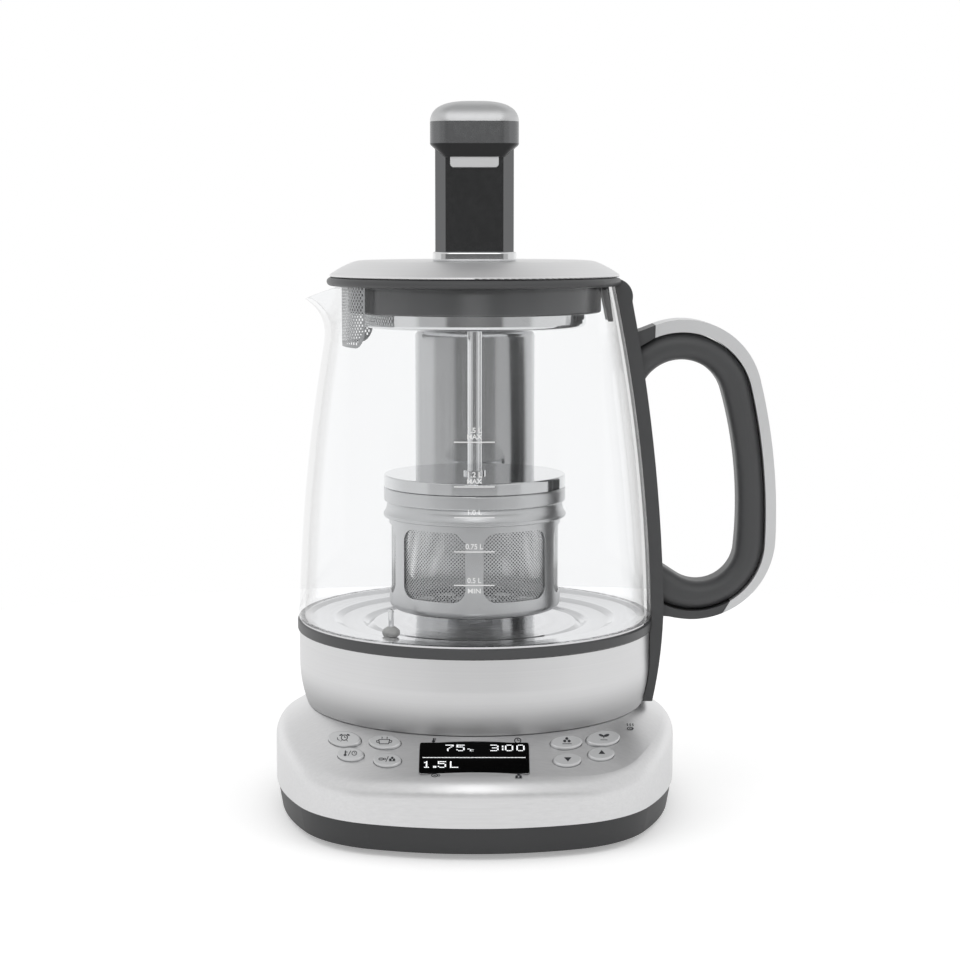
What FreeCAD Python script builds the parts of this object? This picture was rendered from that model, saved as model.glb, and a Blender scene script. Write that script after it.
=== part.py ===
import FreeCAD, Part
import math
import os

import Sketcher
from FreeCAD import Placement, Rotation, Vector

# Automatic tea maker: a 360 degree power base, a glass jug with a heater in its foot, a tea
# basket that a motor in the jug raises on an oval pillar, and a lid whose tower takes the
# basket's rod. Millimetres, +Z up, the spout towards -X, the handle towards +X and the
# controls towards -Y. The origin is on the table, under the jug's axis.

SIZES = (
    # Power base
    ("base_side", 11.2, "base beyond the jug's steel skirt, to the side"),
    ("base_front", 21.7, "base beyond the jug's steel skirt, to the front and rear"),
    ("corner_radius", 55.0, "plan radius of the base's corners"),
    ("corner_side", 65.4, "middle of a corner's arc in from the base's side"),
    ("corner_front", 59.8, "middle of a corner's arc in from the base's front and rear"),
    ("base_top", 49.5, "height of the flat that the jug stands on"),
    ("skirt_top", 15.0, "height of the joint between shell and tray"),
    ("skirt_bottom", 3.0, "height of the tray's underside"),
    ("skirt_inset", 0.5, "step from the shell in to the tray"),
    ("skirt_draft", 2.6, "inset of the tray's lower edge"),
    ("panel_margin", 0.2, "start of the panel inside the jug's lower edge"),
    ("panel_slope", 31.5, "slope of the panel in degrees"),
    ("panel_edge_round", 10.0, "rounding between panel and side wall"),
    ("base_wall", 2.2, "wall of the shell and the tray"),
    ("foot_radius", 8.0, "rubber foot"),
    ("foot_side", 36.3, "rubber feet in from the base's side"),
    ("foot_front", 38.8, "rubber feet in from the base's front and rear"),
    ("boss_side", 34.3, "shell screws in from the base's side"),
    ("boss_front", 63.8, "shell screws in from the base's front and rear"),
    ("boss_radius", 5.0, "screw bosses of shell and tray"),
    ("screw_radius", 1.8, "shank of a shell screw"),
    ("screw_head_radius", 3.4, "head of a shell screw"),
    ("display_width", 47.8, "display window, side to side"),
    ("display_height", 18.4, "display window, up the slope"),
    ("display_front", 14.8, "window's centre in from the base's front"),
    ("display_sink", 0.4, "window face below the panel line at its middle"),
    ("window_thick", 2.4, "display window"),
    ("button_rise", 1.3, "button face above the panel"),
    ("button_gap", 0.25, "clearance round a button"),
    ("board_drop", 21.5, "control board's underside below the base's top"),
    ("board_thick", 1.6, "circuit boards"),
    ("deck_drop", 12.0, "power board below the control board"),
    ("switch_height", 4.6, "tact switch above the board, without its plunger"),
    ("gland_rise", 6.0, "mains cord's gland above the tray's underside"),
    ("gland_bore", 3.3, "radius of the gland's bore"),
    # Coupler
    ("socket_radius", 24.0, "face of the socket in the base"),
    ("socket_boss", 8.5, "central boss of the socket"),
    ("contact_gap", 4.5, "gap between the boss and the contact wall"),
    ("contact_wall", 2.0, "contact wall of the socket"),
    ("boss_rise", 6.5, "central boss of the socket above the base's top"),
    ("cap_pin", 2.95, "pin of the turning cap"),
    ("cap_height", 2.0, "turning cap above the boss"),
    # Jug
    ("jug_rest", 0.3, "steel skirt's lower edge above the base's top"),
    ("skirt_radius", 83.1, "steel skirt where it is widest"),
    ("skirt_draw", 3.4, "turn-in of the steel skirt's lower edge"),
    ("skirt_turn_height", 20.2, "height of the steel skirt's turned part"),
    ("band_height", 34.5, "steel skirt"),
    ("band_wall", 1.0, "steel skirt"),
    ("ring_step", 0.8, "dark ring beyond the steel skirt"),
    ("ring_height", 5.1, "dark ring between steel and glass"),
    ("plate_thick", 0.8, "heating plate"),
    ("plate_sink", 3.7, "heating plate's flat below its clamped rim"),
    ("glass_step", 0.5, "glass inside the dark ring's edge"),
    ("glass_rim_radius", 65.7, "outside of the glass at its rim"),
    ("glass_height", 155.3, "glass from foot to rim"),
    ("glass_curve", 850.0, "radius of the glass's side arc"),
    ("glass_wall", 3.0, "glass"),
    ("rim_ring_step", 3.3, "ring on the rim beyond the glass"),
    ("rim_ring_height", 3.8, "ring on the rim"),
    ("spout_reach", 15.3, "spout's tip beyond the glass's rim"),
    ("filter_gap", 0.3, "spout filter inside the glass"),
    ("filter_angle", 74.0, "arc of the spout filter in degrees"),
    ("filter_height", 28.5, "spout filter"),
    # Handle
    ("strip_width", 26.0, "dark strip that carries the handle"),
    ("strip_thick", 6.3, "dark strip out from the glass"),
    ("strip_rise", 3.3, "head of the strip above the glass"),
    ("handle_width", 21.0, "handle, front to back"),
    ("trim_gap", 0.3, "seam between trim and grip"),
    ("handle_screw_in", 10.2, "lower handle screw above the jug's foot"),
    ("handle_screw_pitch", 16.0, "distance between the handle screws"),
    # Drive
    ("pillar_inset", 19.2, "pillar's axis inside the glass's rim"),
    ("pillar_width", 58.6, "oval pillar, side to side"),
    ("pillar_depth", 34.0, "oval pillar, front to back"),
    ("pillar_end", 10.0, "radius of the oval pillar's narrow ends"),
    ("pillar_wall", 1.0, "pillar"),
    ("pillar_head", 3.8, "room over the pillar, under the lid"),
    ("screw_thread", 3.0, "outside radius of the lead screw"),
    ("screw_journal", 2.0, "radius of the lead screw's ends"),
    ("run_gap", 0.05, "radial running clearance"),
    ("slide_gap", 0.5, "clearance of the carriage in the pillar"),
    # Basket
    ("basket_rise", 10.0, "basket's floor above the heating plate at rest"),
    ("basket_height", 56.7, "basket from floor to rim"),
    ("basket_radius", 39.8, "outside of the basket's wall"),
    ("basket_flange", 2.4, "basket's rim and lid beyond its wall"),
    ("basket_back", 1.3, "gap between the basket's rim and the pillar"),
    ("basket_wall", 0.8, "basket sheet"),
    ("collar_drop", 7.0, "carrier ring below the basket's rim"),
    ("carrier_height", 7.0, "carrier ring"),
    ("bracket_height", 27.0, "magnet bracket below the carrier ring"),
    ("lid_rise", 5.6, "basket's lid above its rim"),
    ("window_foot", 7.8, "plain strip under the mesh windows"),
    ("window_head", 3.2, "plain strip between the windows and the carrier ring"),
    ("window_count", 6, "mesh windows round the basket"),
    ("strip_between", 7.2, "plain strip between two windows"),
    ("travel_room", 3.5, "gap between the raised basket and the lid"),
    ("rod_radius", 3.3, "lift rod"),
    ("rod_rise", 6.5, "rod's tip above the lid's rim at rest"),
    # Lid
    ("lid_over", 1.9, "steel disc of the lid beyond the glass"),
    ("lid_slope", 12.6, "sloping margin of the disc"),
    ("lid_gap", 0.2, "disc above the ring on the rim"),
    ("lid_edge", 1.3, "upright edge of the disc"),
    ("lid_height", 7.5, "disc from lower edge to flat"),
    ("lid_sheet", 1.0, "steel disc and cup"),
    ("lid_curve", 45.0, "radius of the disc's sloping margin"),
    ("seal_inset", 6.7, "dark seal inside the glass's rim"),
    ("seal_depth", 12.5, "dark seal below the glass's rim"),
    ("cup_inset", 6.8, "steel cup inside the seal's edge"),
    ("cup_depth", 6.7, "steel cup below the seal"),
    ("collar_step", 2.7, "bright collar under the tower, wider than the tower"),
    ("collar_height", 4.3, "bright collar"),
    ("tower_width", 35.7, "tower, side to side"),
    ("tower_depth", 27.5, "tower, front to back"),
    ("tower_slant", 4.75, "slanted corners of the tower's face"),
    ("head_over", 4.4, "head wider than the tower"),
    ("head_deeper", 8.5, "head deeper than the tower"),
    ("head_height", 9.9, "head, without its foot and dome"),
    ("taper_height", 5.9, "head's tapered foot"),
    ("head_forward", 4.0, "head's axis in front of the tower's"),
    ("head_corner", 9.0, "plan radius of the head's corners"),
    ("dome_height", 9.4, "dome over the head"),
    ("rod_bore", 4.2, "bore in the tower for the rod"),
    ("bore_room", 3.0, "bore above the raised rod"),
    ("dome_bore", 3.4, "bore's closed end above the head"),
    ("tongue_margin", 2.2, "tower's face beside the release tongue"),
    ("tongue_thick", 5.0, "release tongue, front to back"),
    ("tongue_drop", 4.6, "release tongue below the head's foot"),
    ("tongue_height", 6.8, "release tongue"),
    ("tongue_travel", 3.0, "squeeze of the tongue"),
    ("seat_gap", 0.3, "gap between pieces of different bodies"),
)


class Size:
    """A number together with the sheet formula that gives it."""

    def __init__(self, value, formula):
        self.value = float(value)
        self.formula = formula

    @staticmethod
    def of(number):
        return number if isinstance(number, Size) else Size(number, repr(float(number)))

    def _join(self, sign, other, value):
        return Size(value, f"({self.formula} {sign} {other.formula})")

    def __add__(self, other):
        other = Size.of(other)
        return self._join("+", other, self.value + other.value)

    def __sub__(self, other):
        other = Size.of(other)
        return self._join("-", other, self.value - other.value)

    def __mul__(self, other):
        other = Size.of(other)
        return self._join("*", other, self.value * other.value)

    def __truediv__(self, other):
        other = Size.of(other)
        return self._join("/", other, self.value / other.value)

    def __radd__(self, other):
        return Size.of(other) + self

    def __rsub__(self, other):
        return Size.of(other) - self

    def __rmul__(self, other):
        return Size.of(other) * self

    def __rtruediv__(self, other):
        return Size.of(other) / self

    def __neg__(self):
        return Size.of(0) - self


def sine(angle):
    angle = Size.of(angle)
    return Size(math.sin(math.radians(angle.value)), f"sin({angle.formula})")


def cosine(angle):
    angle = Size.of(angle)
    return Size(math.cos(math.radians(angle.value)), f"cos({angle.formula})")


def root(number):
    number = Size.of(number)
    return Size(math.sqrt(number.value), f"sqrt({number.formula})")


def arc_radius(half_chord, rise):
    """Radius of the arc with this half chord and rise."""
    return (half_chord * half_chord + rise * rise) / (2 * rise)


doc = FreeCAD.newDocument("TeaMaker")
sheet = doc.addObject("Spreadsheet::Sheet", "Sizes")


class Sizes:
    """The sheet's sizes, each an attribute."""


d = Sizes()
for row, (name, value, note) in enumerate(SIZES, 1):
    sheet.set(f"A{row}", note)
    sheet.set(f"B{row}", str(value))
    sheet.setAlias(f"B{row}", name)
    setattr(d, name, Size(value, f"Sizes.{name}"))
doc.recompute()

# What follows from the sheet: radii, plan and heights, from the table up
d.foot_in_radius = d.skirt_radius - d.skirt_draw
d.ring_radius = d.skirt_radius + d.ring_step
d.glass_foot_radius = d.ring_radius - d.glass_step
d.rim_ring_radius = d.glass_rim_radius + d.rim_ring_step
d.filter_radius = d.glass_rim_radius - d.glass_wall - d.filter_gap
d.seal_radius = d.glass_rim_radius - d.seal_inset
d.cup_radius = d.seal_radius - d.cup_inset
d.lid_radius = d.glass_rim_radius + d.lid_over
d.lid_flat = d.lid_radius - d.lid_slope

d.base_width = 2 * (d.skirt_radius + d.base_side)
d.base_depth = 2 * (d.skirt_radius + d.base_front)
d.foot_x = d.base_width / 2 - d.foot_side
d.foot_y = d.base_depth / 2 - d.foot_front
d.boss_x = d.base_width / 2 - d.boss_side
d.boss_y = d.base_depth / 2 - d.boss_front
d.panel_start = d.foot_in_radius - d.panel_margin
d.display_radius = d.base_depth / 2 - d.display_front
d.socket_wall_in = d.socket_boss + d.contact_gap
d.socket_wall_out = d.socket_wall_in + d.contact_wall

d.board_level = d.base_top - d.board_drop
d.gland_level = d.skirt_bottom + d.gland_rise
d.boss_top = d.base_top + d.boss_rise
d.jug_foot = d.base_top + d.jug_rest
d.skirt_turn = d.jug_foot + d.skirt_turn_height
d.band_top = d.jug_foot + d.band_height
d.plate_rim = d.band_top + d.ring_height + d.plate_thick
d.plate_level = d.plate_rim - d.plate_sink
d.glass_top = d.plate_rim + d.glass_height
d.rim_ring_top = d.glass_top + d.rim_ring_height
d.strip_top = d.glass_top + d.strip_rise
d.filter_bottom = d.glass_top - d.filter_height
d.seal_bottom = d.glass_top - d.seal_depth
d.cup_bottom = d.seal_bottom - d.cup_depth
d.lid_rim = d.rim_ring_top + d.lid_gap
d.lid_rim_top = d.lid_rim + d.lid_edge
d.lid_top = d.lid_rim + d.lid_height

d.pillar_y = d.glass_rim_radius - d.pillar_inset
d.pillar_top = d.cup_bottom - d.pillar_head
d.basket_rim = d.basket_radius + d.basket_flange
d.basket_y = d.basket_rim + d.basket_back - d.pillar_y + d.pillar_depth / 2
d.basket_bottom = d.plate_level + d.basket_rise
d.rim_top = d.basket_bottom + d.basket_height
d.collar_top = d.rim_top - d.collar_drop
d.collar_bottom = d.collar_top - d.carrier_height
d.basket_lid_top = d.rim_top + d.lid_rise
d.window_bottom = d.basket_bottom + d.window_foot
d.window_top = d.collar_bottom - d.window_head
d.basket_travel = d.cup_bottom - d.basket_lid_top - d.travel_room
d.rod_top = d.lid_rim + d.rod_rise

d.collar_width = d.tower_width + d.collar_step
d.tower_face = d.tower_width - 2 * d.tower_slant
d.head_width = d.tower_width + d.head_over
d.head_depth = d.tower_depth + d.head_deeper
d.bore_top = d.rod_top + d.basket_travel + d.bore_room
d.head_top = d.bore_top - d.dome_bore
d.head_bottom = d.head_top - d.head_height
d.taper_bottom = d.head_bottom - d.taper_height
d.tongue_bottom = d.taper_bottom - d.tongue_drop
d.tongue_top = d.tongue_bottom + d.tongue_height
d.tongue_width = d.tower_face - 2 * d.tongue_margin

pieces = []


def bind(target, path, size):
    """Sets a property and ties it to its formula in the sheet."""
    size = Size.of(size)
    target.setExpression(path, size.formula)


class Drawing:
    """A sketch whose points and radii are all tied to the sheet."""

    def __init__(self, sketch):
        self.sketch = sketch

    def hold(self, constraint, size):
        index = self.sketch.addConstraint(constraint)
        self.sketch.setExpression(f"Constraints[{index}]", Size.of(size).formula)

    def place(self, geometry, point, x, y):
        x, y = Size.of(x), Size.of(y)
        self.hold(Sketcher.Constraint("DistanceX", -1, 1, geometry, point, x.value), x)
        self.hold(Sketcher.Constraint("DistanceY", -1, 1, geometry, point, y.value), y)

    def circle(self, x, y, radius):
        x, y, radius = Size.of(x), Size.of(y), Size.of(radius)
        shape = Part.Circle(Vector(x.value, y.value, 0), Vector(0, 0, 1), radius.value)
        index = self.sketch.addGeometry(shape)
        self.place(index, 3, x, y)
        self.hold(Sketcher.Constraint("Radius", index, radius.value), radius)
        return self

    def ellipse(self, width, height):
        """An ellipse round the sketch's origin, wider than it is high."""
        width, height = Size.of(width), Size.of(height)
        ends = Vector(width.value / 2, 0, 0), Vector(0, height.value / 2, 0)
        index = self.sketch.addGeometry(Part.Ellipse(ends[0], ends[1], Vector(0, 0, 0)))
        self.sketch.exposeInternalGeometry(index)
        self.place(index, 3, 0, 0)
        self.sketch.addConstraint(Sketcher.Constraint("Horizontal", index + 1))
        self.hold(Sketcher.Constraint("Distance", index + 1, width.value), width)
        self.hold(Sketcher.Constraint("Distance", index + 2, height.value), height)
        return self

    def outline(self, start, *steps):
        """A closed outline of straight steps (x, y) and arcs (x, y, radius).

        An arc turns left where its radius is given as it is, and right where the step
        ends with the word "right". The last step leads back to the start.
        """
        points = [tuple(Size.of(part) for part in start)]
        points += [(Size.of(step[0]), Size.of(step[1])) for step in steps]
        ends = []
        for step, begin, end in zip(steps, points, points[1:]):
            ends.append(self._edge(step, begin, end))
        for (edge, _, tail), (after, head, _) in zip(ends, ends[1:] + ends[:1]):
            self.sketch.addConstraint(
                Sketcher.Constraint("Coincident", edge, tail, after, head))
        for (edge, head, _), (x, y) in zip(ends, points):
            self.place(edge, head, x, y)
        return self

    def _edge(self, step, begin, end):
        """Adds one edge and gives its index and the indices of its two ends."""
        a = Vector(begin[0].value, begin[1].value, 0)
        b = Vector(end[0].value, end[1].value, 0)
        if len(step) == 2:
            return self.sketch.addGeometry(Part.LineSegment(a, b)), 1, 2
        radius = Size.of(step[2])
        right = len(step) == 4
        half = (b - a) * 0.5
        left = Vector(-half.y, half.x, 0)
        left.normalize()
        reach = math.sqrt(max(radius.value ** 2 - half.Length ** 2, 0.0))
        centre = a + half + left * (-reach if right else reach)
        first, last = (b, a) if right else (a, b)
        angles = [math.atan2(p.y - centre.y, p.x - centre.x) for p in (first, last)]
        circle = Part.Circle(centre, Vector(0, 0, 1), radius.value)
        index = self.sketch.addGeometry(Part.ArcOfCircle(circle, *angles))
        self.hold(Sketcher.Constraint("Radius", index, radius.value), radius)
        return (index, 2, 1) if right else (index, 1, 2)

    def rectangle(self, width, height, corner=None, x=0, y=0):
        """A rectangle round the point x, y, with round corners if a radius is given."""
        w, t = Size.of(width) / 2, Size.of(height) / 2
        x, y = Size.of(x), Size.of(y)
        if corner is None:
            return self.outline((x - w, y - t), (x + w, y - t), (x + w, y + t),
                                (x - w, y + t), (x - w, y - t))
        r = Size.of(corner)
        return self.outline(
            (x - w + r, y - t), (x + w - r, y - t), (x + w, y - t + r, r),
            (x + w, y + t - r), (x + w - r, y + t, r), (x - w + r, y + t),
            (x - w, y + t - r, r), (x - w, y - t + r), (x - w + r, y - t, r))

    def oval(self, width, depth, y=0):
        """The pillar's oval: two wide arcs joined by two narrow ones, grown evenly."""
        side, front = Size.of(width) / 2, Size.of(depth) / 2
        end = front - d.pillar_depth / 2 + d.pillar_end
        out, y = side - end, Size.of(y)
        wide = (out * out + front * front - end * end) / (2 * (front - end))
        reach = out + end * out / (wide - end)
        rise = end * (wide - front) / (wide - end)
        return self.outline(
            (-reach, y - rise), (reach, y - rise, wide), (reach, y + rise, end),
            (-reach, y + rise, wide), (-reach, y - rise, end))


class Piece:
    """A PartDesign body that is one node of the assembly."""

    def __init__(self, name, x=None, y=None):
        self.body = doc.addObject("PartDesign::Body", name)
        self.body.Label = name
        for axis, shift in (("x", x), ("y", y)):
            if shift is not None:
                bind(self.body, f"Placement.Base.{axis}", shift)
        pieces.append(self.body)

    def datum(self, role):
        return next(o for o in self.body.Origin.OriginFeatures if o.Role == role)

    def sketch(self, role="XY_Plane", at=0, lean=None):
        """A sketch on an origin plane, moved along its normal or put at a placement."""
        sketch = self.body.newObject("Sketcher::SketchObject", f"{self.body.Label}_sketch")
        sketch.AttachmentSupport = [(self.datum(role), "")]
        sketch.MapMode = "FlatFace"
        if lean is not None:
            sketch.AttachmentOffset = lean
        else:
            bind(sketch, "AttachmentOffset.Base.z", at)
        return Drawing(sketch)

    def front(self, at=0):
        """A sketch in the X-Z plane, moved towards -Y."""
        return self.sketch("XZ_Plane", at)

    def _make(self, kind, drawing):
        feature = self.body.newObject(f"PartDesign::{kind}", f"{self.body.Label}_{kind}")
        feature.Profile = drawing.sketch
        return feature

    def _finish(self, feature, cuts):
        """Recomputes, and makes sure that a cut took something away."""
        before = self.volume
        doc.recompute()
        self.volume = self.body.Shape.Volume
        if cuts and self.volume > before - 1e-3:
            raise ValueError(f"{feature.Label} cuts nothing")
        return feature

    volume = 0.0

    def pad(self, drawing, length, both=False, down=False):
        return self._straight("Pad", drawing, length, both, down)

    def pocket(self, drawing, depth, both=False, up=False):
        return self._straight("Pocket", drawing, depth, both, up)

    def _straight(self, kind, drawing, length, both, reverse):
        feature = self._make(kind, drawing)
        feature.Midplane = both
        feature.Reversed = reverse
        bind(feature, "Length", length)
        return self._finish(feature, kind == "Pocket")

    def spin(self, drawing, angle=360.0, cut=False):
        """Turns a drawing about its own upright axis."""
        feature = self._make("Groove" if cut else "Revolution", drawing)
        feature.ReferenceAxis = (drawing.sketch, ["V_Axis"])
        feature.Midplane = angle != 360.0
        bind(feature, "Angle", angle)
        return self._finish(feature, cut)

    def loft(self, drawings, cut=False):
        kind = "SubtractiveLoft" if cut else "AdditiveLoft"
        feature = self._make(kind, drawings[0])
        feature.Sections = [drawing.sketch for drawing in drawings[1:]]
        return self._finish(feature, cut)

    def around(self, feature, count):
        """Repeats a feature round the body's upright axis."""
        pattern = self.body.newObject("PartDesign::PolarPattern", f"{self.body.Label}_ring")
        pattern.Originals = [feature]
        pattern.Axis = (self.datum("Z_Axis"), [""])
        pattern.Angle = 360
        bind(pattern, "Occurrences", count)
        self.body.Tip = pattern
        return self._finish(pattern, False)

    def remove(self, other):
        """Takes another piece's form out of this one."""
        boolean = self.body.newObject("PartDesign::Boolean", f"{self.body.Label}_less")
        boolean.setObjects([other.body])
        boolean.Type = "Cut"
        self.body.Tip = boolean
        return self._finish(boolean, True)

    def soften(self, radius, chosen):
        """Rounds the edges that the test chooses."""
        base = self.body.Tip
        names = [f"Edge{i}" for i, edge in enumerate(base.Shape.Edges, 1) if chosen(edge)]
        fillet = self.body.newObject("PartDesign::Fillet", f"{self.body.Label}_round")
        fillet.Base = (base, names)
        bind(fillet, "Radius", radius)
        return self._finish(fillet, False)


def level(edge, height, within=0.05):
    """True for an edge that lies all at one height."""
    box = edge.BoundBox
    return abs(box.ZMin - height.value) < within and abs(box.ZMax - height.value) < within


# ---------------------------------------------------------------- power base

def base_outline(drawing, inset=0):
    """The base's plan: wide arcs on its four sides, run smoothly into round corners."""
    corner = d.corner_radius
    x, y = d.base_width / 2 - d.corner_side, d.base_depth / 2 - d.corner_front
    front = arc_radius(x, d.corner_front - corner)
    side = arc_radius(y, d.corner_side - corner)
    front_x = x + (corner - inset) * x / front
    front_y = y + (corner - inset) * (front + corner - d.corner_front) / front
    side_x = x + (corner - inset) * (side + corner - d.corner_side) / side
    side_y = y + (corner - inset) * y / side
    front, side, corner = front + corner - inset, side + corner - inset, corner - inset
    return drawing.outline(
        (-front_x, -front_y), (front_x, -front_y, front), (side_x, -side_y, corner),
        (side_x, side_y, side), (front_x, front_y, corner), (-front_x, front_y, front),
        (-side_x, side_y, corner), (-side_x, -side_y, side), (-front_x, -front_y, corner))


def panel_height(radius):
    """Height of the panel's cone at a distance from the axis."""
    return d.base_top - (radius - d.panel_start) * sine(d.panel_slope) / cosine(d.panel_slope)


def on_panel(radius, angle, depth=0):
    """Placement on the panel: local Z out of it, local Y up the slope."""
    radius, angle, depth = Size.of(radius), Size.of(angle), Size.of(depth)
    turn = Rotation(Vector(0, 0, 1), angle.value) * Rotation(Vector(1, 0, 0), d.panel_slope.value)
    place = Rotation(Vector(0, 0, 1), angle.value).multVec(Vector(0, -radius.value, 0))
    place.z = panel_height(radius).value
    return Placement(place + turn.multVec(Vector(0, 0, depth.value)), turn)


# name, distance from the axis, angle from the front, width, height
BUTTONS = [(f"button_{name}", d.display_radius + offset, angle, width, height)
           for name, offset, angle, width, height in (
               ("clock", -2.4, -41.5, 19.4, 9.0), ("keep", -4.3, -27.5, 15.8, 8.2),
               ("temperature", 4.4, -35.4, 14.2, 7.8), ("strength", 4.6, -23.7, 13.3, 8.0),
               ("basket", -4.0, 28.2, 15.8, 8.1), ("start", -2.8, 41.2, 19.6, 8.9),
               ("down", 4.8, 25.4, 13.4, 7.9), ("up", 4.4, 36.4, 14.1, 7.8))]
STEM_END = d.board_level + d.board_thick + d.switch_height + 1.9
BOARD_STAND = d.display_radius - 13.58
POWER_BOARD_Y = d.base_depth / 2 - 52.8
BOSSES = [(i * d.boss_x, k * d.boss_y) for i in (-1, 1) for k in (-1, 1)]
FEET = [(i * d.foot_x, k * d.foot_y) for i in (-1, 1) for k in (-1, 1)]


def base_block(name, inset=0):
    """The base's solid form above the tray, or the room inside it at an inset."""
    block = Piece(name)
    bottom = d.skirt_top - inset
    top = d.base_top - inset
    block.pad(base_outline(block.sketch(at=bottom), inset), top - bottom)
    start = d.panel_start - inset * sine(d.panel_slope / 2) / cosine(d.panel_slope / 2)
    drop = inset / cosine(d.panel_slope)
    reach = d.base_depth / 2 + 20
    block.spin(block.front().outline(
        (start, top), (reach, panel_height(reach) - drop), (reach, top + 2), (start, top + 2),
        (start, top)), cut=True)
    return block


def make_base_housing():
    shell = base_block("base_housing")
    low, high = d.skirt_top.value + 1, d.base_top.value - 0.5
    shell.soften(d.panel_edge_round,
                 lambda edge: edge.BoundBox.ZMin > low and edge.BoundBox.ZMax < high)
    room = base_block("base_room", d.base_wall)
    pieces.remove(room.body)
    shell.remove(room)
    bosses = shell.sketch(at=d.skirt_top + 1)
    for x, y in BOSSES:
        bosses.circle(x, y, d.boss_radius)
    shell.pad(bosses, d.base_top - d.base_wall / 2 - d.skirt_top - 1)
    holes = shell.sketch(at=d.skirt_top)
    for x, y in BOSSES:
        holes.circle(x, y, d.screw_radius + d.run_gap)
    shell.pocket(holes, 18, up=True)
    shell.pocket(shell.sketch(at=d.base_top + 1).circle(0, 0, d.socket_radius + d.seat_gap),
                 d.base_wall + 2)
    shell.pocket(shell.sketch(lean=on_panel(d.display_radius, 0, 3)).rectangle(
        d.display_width + 0.4, d.display_height + 0.4, 1.2), 9)
    for _, radius, angle, width, height in BUTTONS:
        shell.pocket(shell.sketch(lean=on_panel(radius, angle, 3)).ellipse(
            width + 2 * d.button_gap, height + 2 * d.button_gap), 8)
    return shell


def make_base_skirt():
    tray = Piece("base_skirt")
    tray.loft([base_outline(tray.sketch(at=d.skirt_top), d.skirt_inset),
               base_outline(tray.sketch(at=d.skirt_bottom), d.skirt_draft)])
    tray.pocket(base_outline(tray.sketch(at=d.skirt_top), d.skirt_draft + d.base_wall),
                d.skirt_top - d.skirt_bottom - d.base_wall)
    posts = tray.sketch(at=d.skirt_bottom + 1)
    for x, y in BOSSES:
        posts.circle(x, y, d.boss_radius)
    tray.pad(posts, d.skirt_top - d.skirt_bottom - 0.3)
    heads = tray.sketch(at=d.skirt_bottom)
    shanks = tray.sketch(at=d.skirt_bottom)
    for x, y in BOSSES:
        heads.circle(x, y, d.screw_head_radius + 0.4)
        shanks.circle(x, y, d.screw_radius + d.run_gap)
    tray.pocket(heads, 6, up=True)
    tray.pocket(shanks, 16, up=True)
    deck_y = POWER_BOARD_Y
    board_x, board_y = BOARD_STAND * sine(47.12), BOARD_STAND * cosine(47.12)
    stands = tray.sketch(at=d.skirt_bottom + 1)
    tall = tray.sketch(at=d.skirt_bottom + 1)
    for side in (-1, 1):
        tall.circle(side * board_x, -board_y, 3)
        stands.circle(side * 30, deck_y - 22, 3)
        stands.circle(side * 30, deck_y + 22, 3)
    tray.pad(stands, d.board_level - d.skirt_bottom - 1 - d.deck_drop)
    tray.pad(tall, d.board_level - d.skirt_bottom - 1)
    tray.pocket(tray.front(-d.base_depth / 2 - 2).circle(0, d.gland_level, 5.1), 12, up=True)
    return tray


def make_base_feet():
    feet = Piece("base_feet")
    pads = feet.sketch()
    for x, y in FEET:
        pads.circle(x, y, d.foot_radius)
    feet.pad(pads, d.skirt_bottom)
    feet.soften(0.8, lambda edge: level(edge, Size.of(0)))
    return feet


def make_base_screws():
    screws = Piece("base_screws")
    heads = screws.sketch(at=d.skirt_bottom + 3)
    shanks = screws.sketch(at=d.skirt_bottom + 5)
    for x, y in BOSSES:
        heads.circle(x, y, d.screw_head_radius)
        shanks.circle(x, y, d.screw_radius)
    screws.pad(heads, 3)
    screws.pad(shanks, d.skirt_top + 16 - d.skirt_bottom - 5)
    return screws


def make_display():
    window = Piece("display_window")
    window.body.Placement = on_panel(d.display_radius, 0, -d.display_sink)
    window.pad(window.sketch().rectangle(d.display_width, d.display_height, 1.0),
               d.window_thick, down=True)
    window.soften(0.3, lambda edge: level(edge, Size.of(0)))
    module = Piece("display_module")
    module.body.Placement = window.body.Placement
    module.pad(module.sketch(at=-d.window_thick - 0.2).rectangle(
        d.display_width - 4, d.display_height - 3), 3.2, down=True)


def make_control_board():
    board = Piece("control_board")
    outer, inner, half = d.display_radius + 8, d.display_radius - 22, 50
    x_out, y_out = outer * sine(half), outer * cosine(half)
    x_in, y_in = inner * sine(half), inner * cosine(half)
    board.pad(board.sketch(at=d.board_level).outline(
        (-x_out, -y_out), (x_out, -y_out, outer), (x_in, -y_in),
        (-x_in, -y_in, inner, "right"), (-x_out, -y_out)), d.board_thick)
    top = d.board_level + d.board_thick
    board.pad(board.sketch(at=top).rectangle(12, 12, x=-14, y=10 - d.display_radius), 1.6)
    board.pad(board.sketch(at=top).circle(16, 8 - d.display_radius, 6), 5)
    board.pad(board.sketch(at=top).rectangle(8, 5, x=0, y=18 - d.display_radius), 4)
    switches = Piece("button_switches")
    bodies = switches.sketch(at=top)
    plungers = switches.sketch(at=top + d.switch_height - 0.6)
    for _, radius, angle, _, _ in BUTTONS:
        drop = panel_height(Size.of(radius)) - STEM_END
        inward = drop * sine(d.panel_slope) / cosine(d.panel_slope)
        x = (radius - inward) * sine(angle)
        y = (inward - radius) * cosine(angle)
        bodies.circle(x, y, 3)
        plungers.circle(x, y, 1.7)
    switches.pad(bodies, d.switch_height - 0.4)
    switches.pad(plungers, 0.6)


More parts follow.
